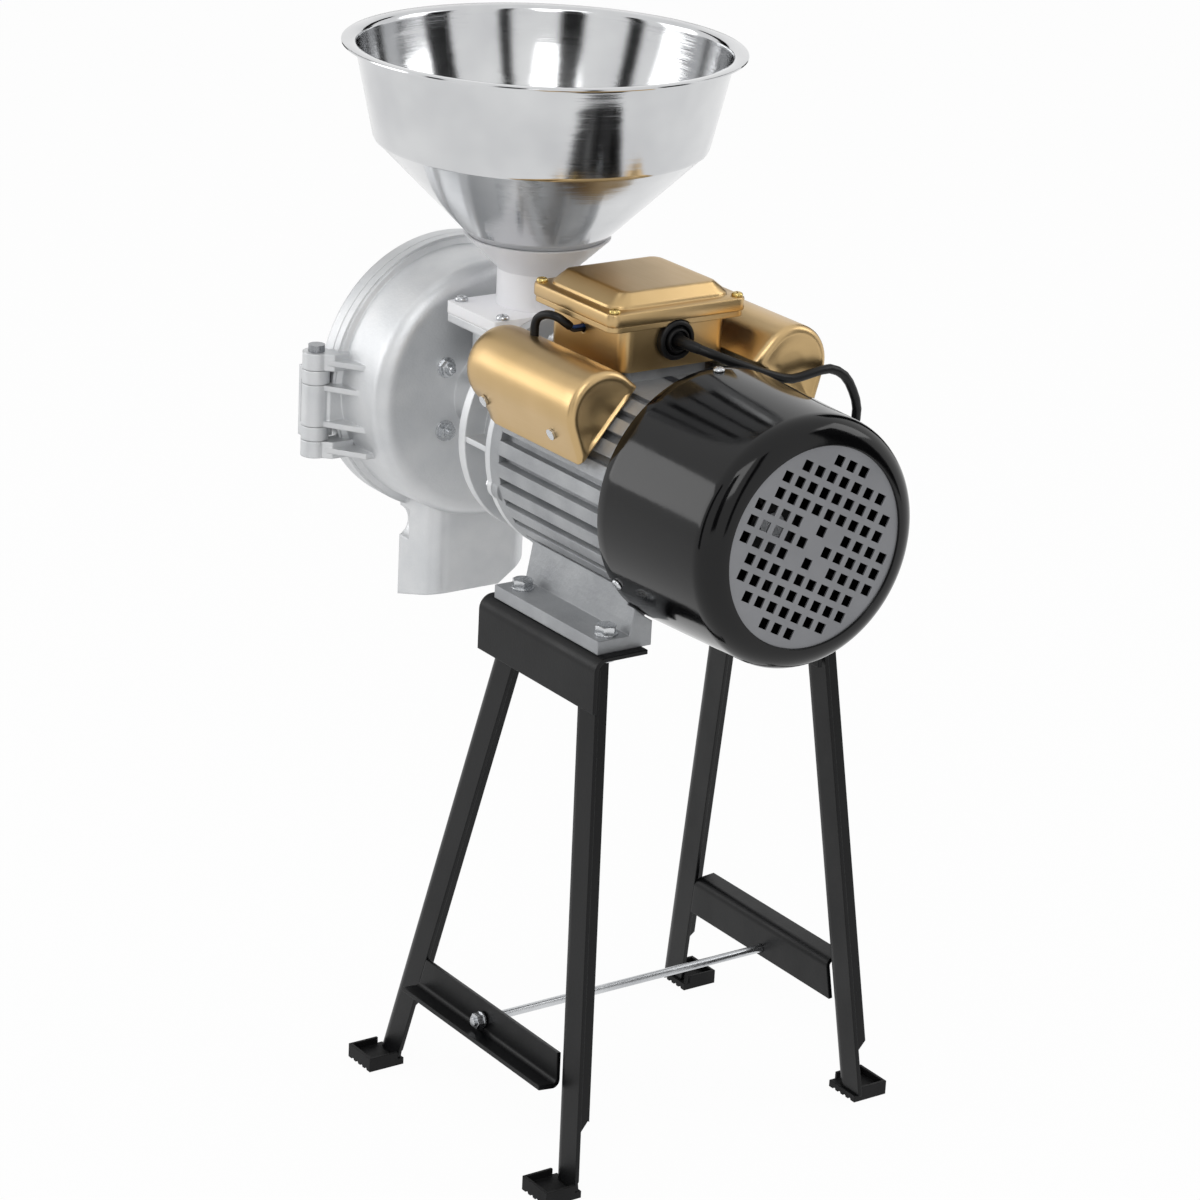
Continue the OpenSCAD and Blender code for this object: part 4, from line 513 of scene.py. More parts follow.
def camera_axes():
    a, e, r = (math.radians(v) for v in (VIEW_AZIMUTH, VIEW_ELEVATION, VIEW_ROLL))
    back = Vector((math.sin(a) * math.cos(e), -math.cos(a) * math.cos(e), math.sin(e)))
    right = Vector((math.cos(a), math.sin(a), 0))
    up = back.cross(right)
    return (right * math.cos(r) + up * math.sin(r), up * math.cos(r) - right * math.sin(r), back)


class MILL_OT_stage(bpy.types.Operator):
    """Adds the camera, the pale floor, the lamps, the surroundings and the dark flags"""
    bl_idname = "mill.stage"
    bl_label = "Stage"

    def execute(self, context):
        settings = context.scene.mill_stage
        context.scene.view_settings.view_transform = "Standard"
        self.camera(context.scene)
        self.floor(settings.floor_colour)
        self.lamps(settings.lamp_power)
        self.surroundings(context.scene)
        self.flags()
        return {"FINISHED"}

    def camera(self, scene):
        camera = placed("Camera", bpy.data.cameras.new("Camera"))
        camera.data.lens = VIEW_LENS
        camera.data.sensor_width = VIEW_SENSOR
        camera.data.shift_y = VIEW_LIFT
        camera.data.clip_end = 50
        camera.matrix_world = Matrix.Translation(VIEW_PLACE) @ Matrix(camera_axes()).transposed().to_4x4()
        scene.camera = camera

    def flags(self):
        """Dark cards round the mill: only mirror-like surfaces see them, as streaks."""
        material, tree, shader, coords = new_material("Black card")
        weave = {"Factor": grain(tree, coords, (3, 3, 3), 2), "A": linear("#0a0a0a"), "B": linear("#121212")}
        colour = add_node(tree, "ShaderNodeMix", weave, data_type="RGBA").outputs["Result"]
        set_shader(tree, shader, Base_Color=colour, Roughness=0.9, Specular_IOR_Level=0.1)
        for turn, width, low, high in FLAGS:
            a = math.radians(VIEW_AZIMUTH - 90 + turn)
            out = Vector((math.cos(a), math.sin(a), 0)) * FLAG_DISTANCE
            half = Vector((-math.sin(a), math.cos(a), 0)) * width / 2
            corners = [out + half * side + Vector((0, 0, z))
                       for side, z in ((-1, low), (1, low), (1, high), (-1, high))]
            mesh = bpy.data.meshes.new("Flag")
            mesh.from_pydata([tuple(c) for c in corners], [], [(0, 1, 2, 3)])
            mesh.materials.append(material)
            flag = placed("Flag", mesh)
            for ray in ("camera", "diffuse", "shadow", "transmission"):
                setattr(flag, "visible_" + ray, False)

    def floor(self, colour):
        """A matt floor that takes shadows and shows as nearly white."""
        bm = bmesh.new()
        bmesh.ops.create_grid(bm, x_segments=1, y_segments=1, size=FLOOR_HALF)
        mesh = bpy.data.meshes.new("Floor")
        bm.to_mesh(mesh)
        bm.free()
        floor = placed("Floor", mesh)
        floor.location.z = -FLOOR_DROP
        material, tree, shader, coords = new_material("Pale floor")
        slabs = {"Factor": grain(tree, coords, (120, 120, 120), 2), "A": (*colour, 1), "B": (*colour, 1)}
        tone = add_node(tree, "ShaderNodeMix", slabs, data_type="RGBA").outputs["Result"]
        set_shader(tree, shader, Base_Color=tone, Roughness=0.9)
        light = add_node(tree, "ShaderNodeLightPath").outputs
        glow = add_node(tree, "ShaderNodeEmission", {"Color": WHITE, "Strength": 1.0})
        seen = add_node(tree, "ShaderNodeMath", {0: light["Is Camera Ray"], 1: light["Is Glossy Ray"]},
                        operation="MAXIMUM").outputs[0]
        share = add_node(tree, "ShaderNodeMath", {0: seen, 1: FLOOR_GLOW}, operation="MULTIPLY").outputs[0]
        mixed = add_node(tree, "ShaderNodeMixShader", {0: share, 1: shader.outputs[0], 2: glow.outputs[0]})
        output = next(n for n in tree.nodes if n.type == "OUTPUT_MATERIAL")
        feed(tree, output.inputs["Surface"], mixed.outputs[0])
        mesh.materials.append(material)

    def lamps(self, power):
        for name, place, size, share in LAMPS:
            light = bpy.data.lights.new(name, "AREA")
            light.energy = power * share
            light.size = size
            spot = Vector(place)
            turn = (spot - LAMP_TARGET).to_track_quat("Z", "Y")
            placed(name, light).matrix_world = Matrix.Translation(spot) @ turn.to_matrix().to_4x4()

    def surroundings(self, scene):
        """Soft light from all round, which the camera and mirror-like surfaces see as white."""
        world = bpy.data.worlds.new("Studio")
        scene.world = world
        world.use_nodes = True
        tree = world.node_tree
        tree.nodes.clear()
        light = add_node(tree, "ShaderNodeLightPath").outputs
        shown = light["Is Camera Ray"]
        for ray in ("Is Transmission Ray", "Is Glossy Ray"):
            either = add_node(tree, "ShaderNodeMath", {0: shown, 1: light[ray]}, operation="MAXIMUM")
            shown = either.outputs[0]
        soft, seen = (add_node(tree, "ShaderNodeBackground", {"Color": WHITE, "Strength": v}).outputs[0]
                      for v in (SOFT_LIGHT, SEEN_LIGHT))
        mixed = add_node(tree, "ShaderNodeMixShader", {0: shown, 1: soft, 2: seen})
        add_node(tree, "ShaderNodeOutputWorld", {0: mixed.outputs[0]})


# Mains cord, in millimetres: the construction's route, with a rounder turn at the tail beside the plug

CORD_D = 6.6
GLAND_END = (-43.5, -1.4, 96.72)
COIL_X, COIL_Y, COIL_Z = -52, 95, -36.4
COIL_POINTS = 24
PLUG_X, PLUG_Z = -76, 20
TAIL_Y = 90


class CordSettings(bpy.types.PropertyGroup):
    diameter: length_setting("Cord diameter", "Diameter of the mains cord", CORD_D)
    turn_radius: length_setting("Coil radius", "Radius of the coil's outer turn", 46)
    step: length_setting("Coil step", "Distance between neighbouring turns", 7.4)
    turns: IntProperty(name="Turns", description="Turns in each layer of the coil", default=3, min=1)


def coil_point(u, settings):
    """A point on the coil after u turns: the turns in, half a turn across, the turns out again."""
    turns, step = settings.turns, settings.step * 1000
    inwards = min(u, turns, 2 * turns + 0.5 - u)
    radius = settings.turn_radius * 1000 - step * inwards
    y = COIL_Y - step * min(1, max(0, (u - turns) / 0.5))
    a = 2 * math.pi * u
    return Vector((COIL_X + radius * math.cos(a), y, COIL_Z - radius * math.sin(a)))


def cord_route(turn_radius):
    """The cord's way from the gland over the motor's far side down to its coil."""
    x, y, z = GLAND_END
    end = COIL_X + turn_radius
    return [Vector(p) for p in (
        GLAND_END, (x + CORD_D, y, z), (-29, 0.5, 96), (-18, 9, 92.5), (-12, 23, 86.5), (-9, 38, 80.5),
        (-7.5, 53.5, 74.5), (-6, 69, 70.5), (-5.5, 85, 72.5), (-6, 101, 73.5), (-6, 114, 67), (-7, 123, 55),
        (-8.5, 129, 41), (-9, 127.5, 26), (-8.5, 119.5, 13), (-7.5, 109, 1.5), (-6.5, 100, -11),
        (end, COIL_Y, COIL_Z + 1.5 * CORD_D), (end, COIL_Y, COIL_Z + 0.5 * CORD_D))]


def cord_centreline(settings):
    """The route, the coil and a tail whose last stretch is a quarter circle up to the plug."""
    radius = settings.turn_radius * 1000
    total = 2 * settings.turns + 0.5
    coil = [coil_point(i / COIL_POINTS, settings) for i in range(int(COIL_POINTS * total) + 1)]
    leave = coil_point(total, settings) + Vector((0, 0, CORD_D))
    bend = PLUG_X - (COIL_X - radius)
    tail = [leave, leave + Vector((0, 0, CORD_D))]
    for k in range(5):
        a = math.pi / 8 * k
        tail.append(Vector((PLUG_X - bend * math.cos(a), TAIL_Y + k, PLUG_Z - bend + bend * math.sin(a))))
    return spline(cord_route(radius), 2) + coil + spline(tail, 2)


class MILL_OT_mains_cord(bpy.types.Operator):
    """Lays the mains cord from the gland to its coil and on to the plug"""
    bl_idname = "mill.mains_cord"
    bl_label = "Mains cord"

    def execute(self, context):
        settings = context.scene.mill_cord
        path = [at(*p) for p in cord_centreline(settings)]
        curve = bpy.data.curves.new("Mains cord", "CURVE")
        curve.dimensions = "3D"
        curve.bevel_depth = settings.diameter / 2
        curve.bevel_resolution = 4
        curve.use_fill_caps = True
        line = curve.splines.new("POLY")
        line.points.add(len(path) - 1)
        for point, place in zip(line.points, path):
            point.co = (*place, 1)
        cord = placed("Mains_cord", curve)
        curve.materials.append(cord_sheath())
        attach(cord, "base")
        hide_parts("mains_cord", "cord_coil", "cord_tail")
        return {"FINISHED"}


# Finishes of the construction nodes that stay visible

CORD_NODES = {"mains_cord", "cord_coil", "cord_tail"}
FINISHES = {
    steel_paint: ("near_rail", "far_rail", "near_front_leg", "near_rear_leg", "far_front_leg",
                  "far_rear_leg", "near_crossbar", "far_crossbar"),
    rubber: ("foot_pads",),
    zinc_plate: ("tie_rod", "tie_rod_nuts", "foot_bolts", "foot_nuts", "cowl_screws", "cover_screws",
                 "bell_bolts", "burr_bolts", "cup_screws"),
    motor_casting: ("motor_feet", "motor_frame", "front_end_shield", "rear_end_shield"),
    laminated_iron: ("stator_core", "rotor_core"),
    enamelled_copper: ("stator_windings",),
    ground_steel: ("shaft_bearings", "motor_shaft", "hinge_pin", "swing_bolt", "swing_pin", "wing_nut",
                   "fixed_burr", "moving_burr", "feed_auger"),
    cord_sheath: ("capacitor_lead", "mains_plug", "cord_tie"),
    gland_plastic: ("cable_gland", "shaft_seal", "cooling_fan", "contact_plate"),
    cream_plastic: ("governor", "terminal_block", "capacitors"),
    cowl_enamel: ("fan_cowl",),
    grille_metal: ("fan_grille",),
    gold_steel: ("terminal_box", "terminal_lid", "near_capacitor_cover", "far_capacitor_cover"),
    brass_plate: ("lid_screws",),
    mill_casting: ("mill_housing", "door", "adjusting_screw"),
    milky_plastic: ("inlet_cup",),
    hopper_steel: ("hopper",),
    bronze: ("thrust_pad",),
}


class MILL_OT_finishes(bpy.types.Operator):
    """Gives every construction node that stays visible its own material"""
    bl_idname = "mill.finishes"
    bl_label = "Finishes"

    def execute(self, context):
        dressed = set()
        for maker, nodes in FINISHES.items():
            material = maker()
            for name in nodes:
                coat(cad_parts[name].data, material)
                dressed.add(name)
        missed = set(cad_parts) - dressed - CORD_NODES
        if missed:
            raise RuntimeError("no finish for " + ", ".join(sorted(missed)))
        return {"FINISHED"}


# Hopper. Sizes in this section and those below are in millimetres unless they say otherwise

SPIGOT_RADIUS, SPIGOT_FOOT, SPIGOT_TOP = 23.7, 98.0, 105.0
CONE_FOOT = (48.3, 127.7)
BEND_HEIGHT = 195.0
LIP_HEIGHT = 260.0
# Offsets along the radius and the height that soften the shoulder and roll the lip
OUTER_SHOULDER = ((-2.2, -1.9), (-0.6, -0.8), (0.3, 1.2))
INNER_SHOULDER = ((0.2, 1.6), (-1.2, -0.1), (-2.6, -1.2))
OUTER_ROLL = ((0.2, -3.4), (1.0, -1.0), (2.6, 0))
LIP_EDGE = ((-1.8, 0.3), (-0.6, -0.3), (-0.1, 0.4), (-0.3, 1.2), (-1.2, 1.7))
INNER_ROLL = ((2.6, 1.3), (0.6, 0.7), (-0.6, -1.0), (-0.8, -3.2))


class HopperSettings(bpy.types.PropertyGroup):
    lip_radius: length_setting("Lip radius", "Outer radius of the rolled lip", 140)
    mouth_radius: length_setting("Mouth radius", "Inner radius of the mouth", 130)
    bend_radius: length_setting("Shoulder radius", "Radius where the wall meets the cone", 116.5)
    sheet: length_setting("Sheet", "Thickness of the steel", 1.0)


def moved(corner, offsets):
    """Points given by their offsets from a corner of a section."""
    return [(corner[0] + a, corner[1] + b) for a, b in offsets]


class MILL_OT_hopper(bpy.types.Operator):
    """Spins the steel hopper with its rolled lip and soft shoulder"""
    bl_idname = "mill.hopper"
    bl_label = "Hopper"

    def execute(self, context):
        s = context.scene.mill_hopper
        lip, mouth, bend, sheet = (1000 * v for v in (s.lip_radius, s.mouth_radius, s.bend_radius, s.sheet))
        foot_r, foot_z = CONE_FOOT
        lift = 0.6 * sheet
        profile = [(SPIGOT_RADIUS - sheet, SPIGOT_FOOT), (SPIGOT_RADIUS, SPIGOT_FOOT)]
        profile += [(SPIGOT_RADIUS, SPIGOT_TOP), CONE_FOOT]
        profile += moved((bend, BEND_HEIGHT), OUTER_SHOULDER)
        profile += moved((mouth, LIP_HEIGHT), OUTER_ROLL)
        profile += moved((lip, LIP_HEIGHT), LIP_EDGE)
        profile += moved((mouth, LIP_HEIGHT), INNER_ROLL)
        profile += moved((bend - sheet, BEND_HEIGHT), INNER_SHOULDER)
        profile += [(foot_r - sheet, foot_z + lift), (SPIGOT_RADIUS - sheet, SPIGOT_TOP + lift)]
        mesh = revolved(profile, at(HOPPER_AXIS, 0, 0), "Z", 180, "Hopper")
        finished("Spun_hopper", mesh, hopper_steel(), body="hopper_body", replaced=["hopper"],
                 smooth_angle=40)
        return {"FINISHED"}


# Capacitor covers

# Each hood's middle, and how far its inner skirt hangs below it
NEAR_HOOD, NEAR_SKIRT = (-90, -71, 61), 10
FAR_HOOD, FAR_SKIRT = (-80, 75.4, 77), 18
FRAME_CLEARANCE_RADIUS = 84.0
FLARE_START, FLARE_RUN = 6, 26
# The flat skirt's tip and rolled lip beside the hood, straight at the mill's end and flared behind it
STRAIGHT_TIP, FLARED_TIP = (0, -9), (-7, -6)
STRAIGHT_LIP, FLARED_LIP = (0, -12), (-9.2, -9.2)
LIP_ROLL = (1.6, -0.9)


class CoverSettings(bpy.types.PropertyGroup):
    radius: length_setting("Hood radius", "Radius of the half-round hoods", 28)
    length: length_setting("Hood length", "Length of the hoods", 136)
    front_round: length_setting("Front rounding", "Radius of the edge at the mill's end", 16)
    rim_round: length_setting("Rim rounding", "Radius of the rim round the fan end's face", 5)
    dish: length_setting("Dish", "How deep the fan end's face lies in its rim", 2.2)


def hood_outline(radius, flare, skirt, axis_distance):
    """A hood's section: flared skirt, half round, inner skirt, and a floor just over the fins."""
    edge = Vector((-radius, 0))
    tip = edge + Vector(STRAIGHT_TIP).lerp(Vector(FLARED_TIP), flare)
    lip = edge + Vector(STRAIGHT_LIP).lerp(Vector(FLARED_LIP), flare)
    to_tip = math.degrees(math.atan2(tip.y, tip.x)) % 360
    touch = to_tip - math.degrees(math.acos(min(1, radius / tip.length)))
    crown = arc((0, 0), radius, touch, 0, 26)
    points = [tuple(lip + Vector(LIP_ROLL)), tuple(lip), tuple(tip)]
    points += [tuple(tip.lerp(Vector(crown[0]), share)) for share in (0.06, 0.5)]
    points += crown + [(radius, -skirt / 2), (radius, -skirt)]
    floor_start, floor_end, floor_points = radius - 1, tip.x + 3, 6
    for k in range(1, floor_points):
        y = floor_start + (floor_end - radius) * k / floor_points
        fins = math.sqrt(FRAME_CLEARANCE_RADIUS ** 2 - y * y) - axis_distance
        points.append((y, max(-skirt, fins)))
    return points


def hood_rings(s, middle, skirt):
    """Rings from the mill's end, round its rounded edge, along the hood and into its dished end."""
    sizes = (s.radius, s.length, s.front_round, s.rim_round, s.dish)
    radius, length, front, rim, dish = (1000 * v for v in sizes)
    x, y, z = middle
    turn = math.atan2(-y, z)
    side = -1 if y > 0 else 1
    half = length / 2
    stations = [(-half + front - front * math.cos(a), front - front * math.sin(a))
                for a in (math.pi / 2 * k / 7 for k in range(8))]
    stations += [(-half + front + (length - front - rim) * k / 14, 0) for k in range(1, 14)]
    stations += [(half - rim + rim * math.cos(a), rim - rim * math.sin(a))
                 for a in (math.pi / 2 * (1 - k / 5) for k in range(6))]
    stations += [(half - 0.3, rim + 1.6), (half - dish, rim + 5), (half - dish - 0.3, rim + 14)]
    rings = []
    for along, inset in stations:
        flare = min(1, max(0, (along + half - FLARE_START) / FLARE_RUN))
        flare = flare * flare * (3 - 2 * flare)
        shrink = 1 - inset / radius
        ring = []
        for a, b in hood_outline(radius, flare, skirt, math.hypot(y, z)):
            a, b = a * shrink * side, b * shrink
            ring.append(at(x + along, y + a * math.cos(turn) - b * math.sin(turn),
                           z + a * math.sin(turn) + b * math.cos(turn)))
        rings.append(ring)
    return rings


class MILL_OT_capacitor_covers(bpy.types.Operator):
    """Presses the two half-round hoods with a flared skirt, a rolled lip and a dished end"""
    bl_idname = "mill.capacitor_covers"
    bl_label = "Capacitor covers"

    def execute(self, context):
        s = context.scene.mill_covers
        lacquer = gold_steel()
        for name, middle, skirt, node in (("Near_hood", NEAR_HOOD, NEAR_SKIRT, "near_capacitor_cover"),
                                          ("Far_hood", FAR_HOOD, FAR_SKIRT, "far_capacitor_cover")):
            finished(name, loft(hood_rings(s, middle, skirt), name), lacquer, replaced=[node],
                     smooth_angle=50)
        return {"FINISHED"}


# Terminal box's lid

BOX_MIDDLE = -90
LID_FOOT = 111.1
LID_CORNER = 8


class LidSettings(bpy.types.PropertyGroup):
    length: length_setting("Lid length", "Length of the lid along the motor", 98)
    width: length_setting("Lid width", "Width of the lid across the motor", 112)
    edge: length_setting("Edge height", "Height of the lid's edge", 9)
    crown: length_setting("Crown height", "Height of the hipped middle", 10)


def rounded_ring(half_x, half_y, corner, z, middle, steps=6):
    """A level ring of points round a rectangle with round corners."""
    out = []
    for k, (sx, sy) in enumerate(((1, 1), (-1, 1), (-1, -1), (1, -1))):
        centre = (sx * (half_x - corner), sy * (half_y - corner))
        out += [at(middle + a, b, z) for a, b in arc(centre, corner, 90 * k, 90 * k + 90, steps)]
    return out


class MILL_OT_box_lid(bpy.types.Operator):
    """Presses the terminal box's lid: a folded edge, a step and a hipped crown"""
    bl_idname = "mill.box_lid"
    bl_label = "Box lid"

    def execute(self, context):
        s = context.scene.mill_lid
        length, width, edge, crown = (1000 * v for v in (s.length, s.width, s.edge, s.crown))
        top, peak = LID_FOOT + edge, LID_FOOT + edge + crown
        # How far in from the edge along and across, the corner's radius and the height
        underside = ((1.5, 1.5, 6.5, top - 1.5), (1.5, 1.5, 6.5, LID_FOOT + 0.2))
        fold = ((0.4, 0.4, 7.6, LID_FOOT), (0, 0, LID_CORNER, LID_FOOT + 0.8), (0, 0, LID_CORNER, top - 2),
                (0.5, 0.5, 7.5, top - 0.6), (1.8, 1.8, 6.5, top), (6, 6, 14, top))
        step = ((7.2, 7.2, 13.5, top + 0.6), (7.6, 7.6, 13.2, top + 2.2), (8.4, 8.8, 12.6, top + 3.2))
        hip = ((13.2, 17.2, 7, peak - 0.5), (14.4, 18.6, 6, peak - 0.05), (17, 22, 5, peak - 0.02))
        rings = [rounded_ring(length / 2 - a, width / 2 - b, corner, z, BOX_MIDDLE)
                 for a, b, corner, z in underside + fold + step + hip]
        finished("Box_lid", loft(rings, "Box lid"), gold_steel(), replaced=["terminal_lid"],
                 smooth_angle=28)
        return {"FINISHED"}


# Fan cowl

class CowlSettings(bpy.types.PropertyGroup):
    front_radius: length_setting("Front radius", "Radius at the open front edge", 89.6)
    rear_radius: length_setting("Rear radius", "Radius where the rear rounding starts", 86.2)
    length: length_setting("Cowl length", "Length along the shaft", 118)
    round: length_setting("Rear rounding", "Radius of the rear edge", 17)
    opening: length_setting("Opening", "Radius of the rear opening", 66)
    sheet: length_setting("Sheet", "Thickness of the steel", 1.4)


class MILL_OT_fan_cowl(bpy.types.Operator):
    """Draws the fan's cowl with a soft front edge and a seat for the grille"""
    bl_idname = "mill.fan_cowl"
    bl_label = "Fan cowl"

    def execute(self, context):
        s = context.scene.mill_cowl
        front, rear, length, edge, opening, sheet = (
            1000 * v for v in (s.front_radius, s.rear_radius, s.length, s.round, s.opening, s.sheet))
        profile = [(front - 0.9, 0), (front - 0.2, 0.15), (front, 0.7), (front - 0.25, 8)]
        profile += [(front + (rear - front) * share, (length - edge) * share) for share in (0.3, 0.6, 0.85)]
        profile += arc((rear - edge, length - edge), edge, 0, 90, 15)
        seat, back = length - 1.5, length - 4
        profile += [(opening + 2 * sheet, length), (opening + 2.55, seat), (opening, seat - 0.1)]
        profile += [(opening, back), (rear - edge, back - 0.2)]
        profile += arc((rear - edge, length - edge - 1.2), edge - sheet, 80, 0, 8)
        profile += [(front - sheet, 6), (front - sheet, 0.3)]
        mesh = revolved(profile, at(0, 0, 0), "X", 144, "Fan cowl")
        finished("Fan_cowl", mesh, cowl_enamel(), replaced=["fan_cowl"], smooth_angle=40)
        return {"FINISHED"}


# Cable gland and the capacitor's lead

GLAND_FACE = (-45.9, -1.4, 96.72)
GLAND_BORE, GLAND_THREAD, GLAND_DEPTH = 3.4, 9.7, 6
# Steps of the nut's section, in from its radius and out from the box: outer ring, groove, inner ring
NUT_SECTION = ((0, 0), (0, 3.4), (0.5, 4.6), (1.8, 5.4), (3.2, 5.2), (3.9, 4.2), (4.2, 2.6), (5, 2.4),
               (5.3, 5.6), (6, 6.6), (7, 6.7), (7.6, 6), (7.9, 4.6))
# How much the relief's last ring is smaller, in metres
RELIEF_STEP = 0.0002
LEAD_ROUTE = ((-116, -66, 86), (-116, -66, 95), (-114, -65, 101), (-107, -63, 105), (-99, -60, 105),
              (-95, -55, 101), (-94, -49, 97), (-94, -40, 97))
SLEEVED_SHARE = 0.8


class GlandSettings(bpy.types.PropertyGroup):
    radius: length_setting("Nut radius", "Outer radius of the gland's nut", 14)
    relief_length: length_setting("Relief length", "Length of the tapered sleeve on the cord", 22)
    relief_radius: length_setting("Relief radius", "Radius of the sleeve where it leaves the gland", 5.1)
    relief_end: length_setting("Relief end", "Radius of the sleeve near its end on the cord", 3.6)


class MILL_OT_cable_gland(bpy.types.Operator):
    """Turns the gland's nut with its inner ring, and the tapered sleeve where the cord leaves"""
    bl_idname = "mill.cable_gland"
    bl_label = "Cable gland"

    def execute(self, context):
        s = context.scene.mill_gland
        radius = 1000 * s.radius
        nylon = gland_plastic()
        profile = [(GLAND_BORE, -GLAND_DEPTH), (GLAND_THREAD, -GLAND_DEPTH), (GLAND_THREAD, 0)]
        profile += [(radius - inset, out) for inset, out in NUT_SECTION] + [(GLAND_BORE, 4.4)]
        mesh = revolved(profile, at(*GLAND_FACE), "X", 64, "Cable gland")
        finished("Cable_gland", mesh, nylon, replaced=["cable_gland"], smooth_angle=40)
        path = self.start_of_cord(context.scene.mill_cord, s.relief_length)
        last = len(path) - 1
        radii = [s.relief_radius + (s.relief_end - s.relief_radius) * k / last for k in range(last)]
        radii.append(s.relief_end - RELIEF_STEP)
        finished("Strain_relief", swept(path, radii, 20, "Strain relief"), nylon)
        return {"FINISHED"}

    def start_of_cord(self, cord, length):
        """The cord's first points, up to the given length."""
        path = [at(*p) for p in spline(cord_route(1000 * cord.turn_radius), 6)]
        walked, kept = 0.0, [path[0]]
        for a, b in zip(path, path[1:]):
            walked += (b - a).length
            if walked > length:
                break
            kept.append(b)
        return kept


class LeadSettings(bpy.types.PropertyGroup):
    sleeve_radius: length_setting("Sleeve radius", "Radius of the black sleeve", 3)
    wire_radius: length_setting("Wire radius", "Radius of a wire inside the sleeve", 1.3)


class MILL_OT_capacitor_lead(bpy.types.Operator):
    """Bends the short sleeved lead from the near hood into the box, with two wires out of its end"""
    bl_idname = "mill.capacitor_lead"
    bl_label = "Capacitor lead"

    def execute(self, context):
        s = context.scene.mill_lead
        path = [at(*p) for p in spline([Vector(p) for p in LEAD_ROUTE], 8)]
        cut = int(len(path) * SLEEVED_SHARE)
        radii = [s.sleeve_radius] * (cut - 1) + [s.sleeve_radius * 0.94]
        sleeve = swept(path[:cut], radii, 18, "Lead sleeve")
        finished("Lead_sleeve", sleeve, cord_sheath(), replaced=["capacitor_lead"], smooth_angle=50)
        for name, side, colour in (("Lead_wire_a", 1, "#2b4f8f"), ("Lead_wire_b", -1, "#26262a")):
            wire_path = [p + Vector((0, 0, side * s.wire_radius)) for p in path[cut - 3:]]
            wire = swept(wire_path, [s.wire_radius] * len(wire_path), 10, name)
            finished(name, wire, wire_sheath(colour), smooth_angle=50)
        return {"FINISHED"}


# Fasteners: one pattern of each kind, put on its places by Geometry Nodes

def turned_ring(radius_at, z, steps):
    """A level ring of points whose radius depends on the angle."""
    turns = [2 * math.pi * k / steps for k in range(steps)]
    return [Vector((radius_at(a) * math.cos(a), radius_at(a) * math.sin(a), z)) / 1000 for a in turns]


def circle_ring(radius, z, steps=24):
    return turned_ring(lambda a: radius, z, steps)


def cross_ring(radius, z, steps=32):
    """Points round a cross with round arms, for a screw's recess."""
    return turned_ring(lambda a: radius * (0.3 + 0.7 * abs(math.cos(2 * a)) ** 3), z, steps)


def hexagon_ring(across, z, steps=24, cone_from=None):
    """Points round a hexagon; outside the radius cone_from a cone of 30 degrees takes its corners down."""
    def radius_at(a):
        return across / 2 / math.cos((a + math.pi / 6) % (math.pi / 3) - math.pi / 6)
    ring = turned_ring(radius_at, z, steps)
    if cone_from is not None:
        for point in ring:
            past = max(0, 1000 * point.to_2d().length - cone_from)
            point.z -= past * math.tan(math.radians(30)) / 1000
    return ring


def pan_head(radius, height, shank_radius, shank):
    """A pan head screw with a cross recess, facing +Z, its underside at the origin."""
    rings = [circle_ring(r, z, 32) for r, z in (
        (shank_radius * 0.7, -shank), (shank_radius, 0.6 - shank), (shank_radius, -0.01), (radius * 0.97, 0),
        (radius, height * 0.15), (radius * 0.98, height * 0.5), (radius * 0.86, height * 0.82),
        (radius * 0.72, height * 0.96), (radius * 0.66, height))]
    rings += [cross_ring(radius * 0.6, height), cross_ring(radius * 0.52, height * 0.35)]
    return loft(rings, "Pan head")


def hex_head(across, height, shank_radius, shank, washer_radius=0, washer=0, stub=0):
    """A hexagon head or nut on its washer, facing +Z, with its shank below and a thread's end above."""
    fine, soft = 0.2, 0.7
    rings = [circle_ring(shank_radius - soft, -shank), circle_ring(shank_radius, 0.9 - shank),
             circle_ring(shank_radius, 0)]
    if washer:
        rings += [circle_ring(washer_radius - fine, 0), circle_ring(washer_radius, fine),
                  circle_ring(washer_radius, washer - fine), circle_ring(washer_radius - 0.3, washer)]
    face, top = across * 0.47, washer + height
    rings += [hexagon_ring(across * 0.98, washer + 0.01), hexagon_ring(across, washer + 0.25),
              hexagon_ring(across, top, cone_from=face), circle_ring(face, top)]
    if stub:
        rings += [circle_ring(shank_radius + 0.15, top - 0.1), circle_ring(shank_radius, top),
                  circle_ring(shank_radius, top + stub - 0.6), circle_ring(shank_radius - soft, top + stub)]
    else:
        rings += [circle_ring(face * 0.8, top + 0.02)]
    return loft(rings, "Hexagon head", weld=1e-7)


# Where the fasteners sit: the middle of each pattern, how far out from it, and the height or turn
FOOT_MIDDLE, FOOT_HALF, FOOT_BOLT_Z, FOOT_NUT_Z = -52.5, (50, 76), -86.0, -98.4
LID_SCREW_HALF, LID_SCREW_Z = (43, 50), 120.15
CUP_SCREW_HALF, CUP_SCREW_Z = (26.4, 43.8), 78.1
COWL_SCREW_X, COWL_SCREW_RADIUS, COWL_SCREW_TURN = 8, 89.5, 92
BELL_BOLT_X, BELL_BOLT_RADIUS, BELL_BOLT_TURN = -146.1, 74, 19.3
DRUM_STUD = (-262.2, -41, 23)
UP, DOWN, TO_MILL, TO_MOTOR = (0, 0, 1), (0, 0, -1), (-1, 0, 0), (1, 0, 0)


def corner_places(middle, half, z, facing, spins):
    """Places on the four corners of a level rectangle, one for each spin."""
    corners = ((-1, -1), (-1, 1), (1, -1), (1, 1))
    return [(at(middle + a * half[0], b * half[1], z), facing, spin) for (a, b), spin in zip(corners, spins)]


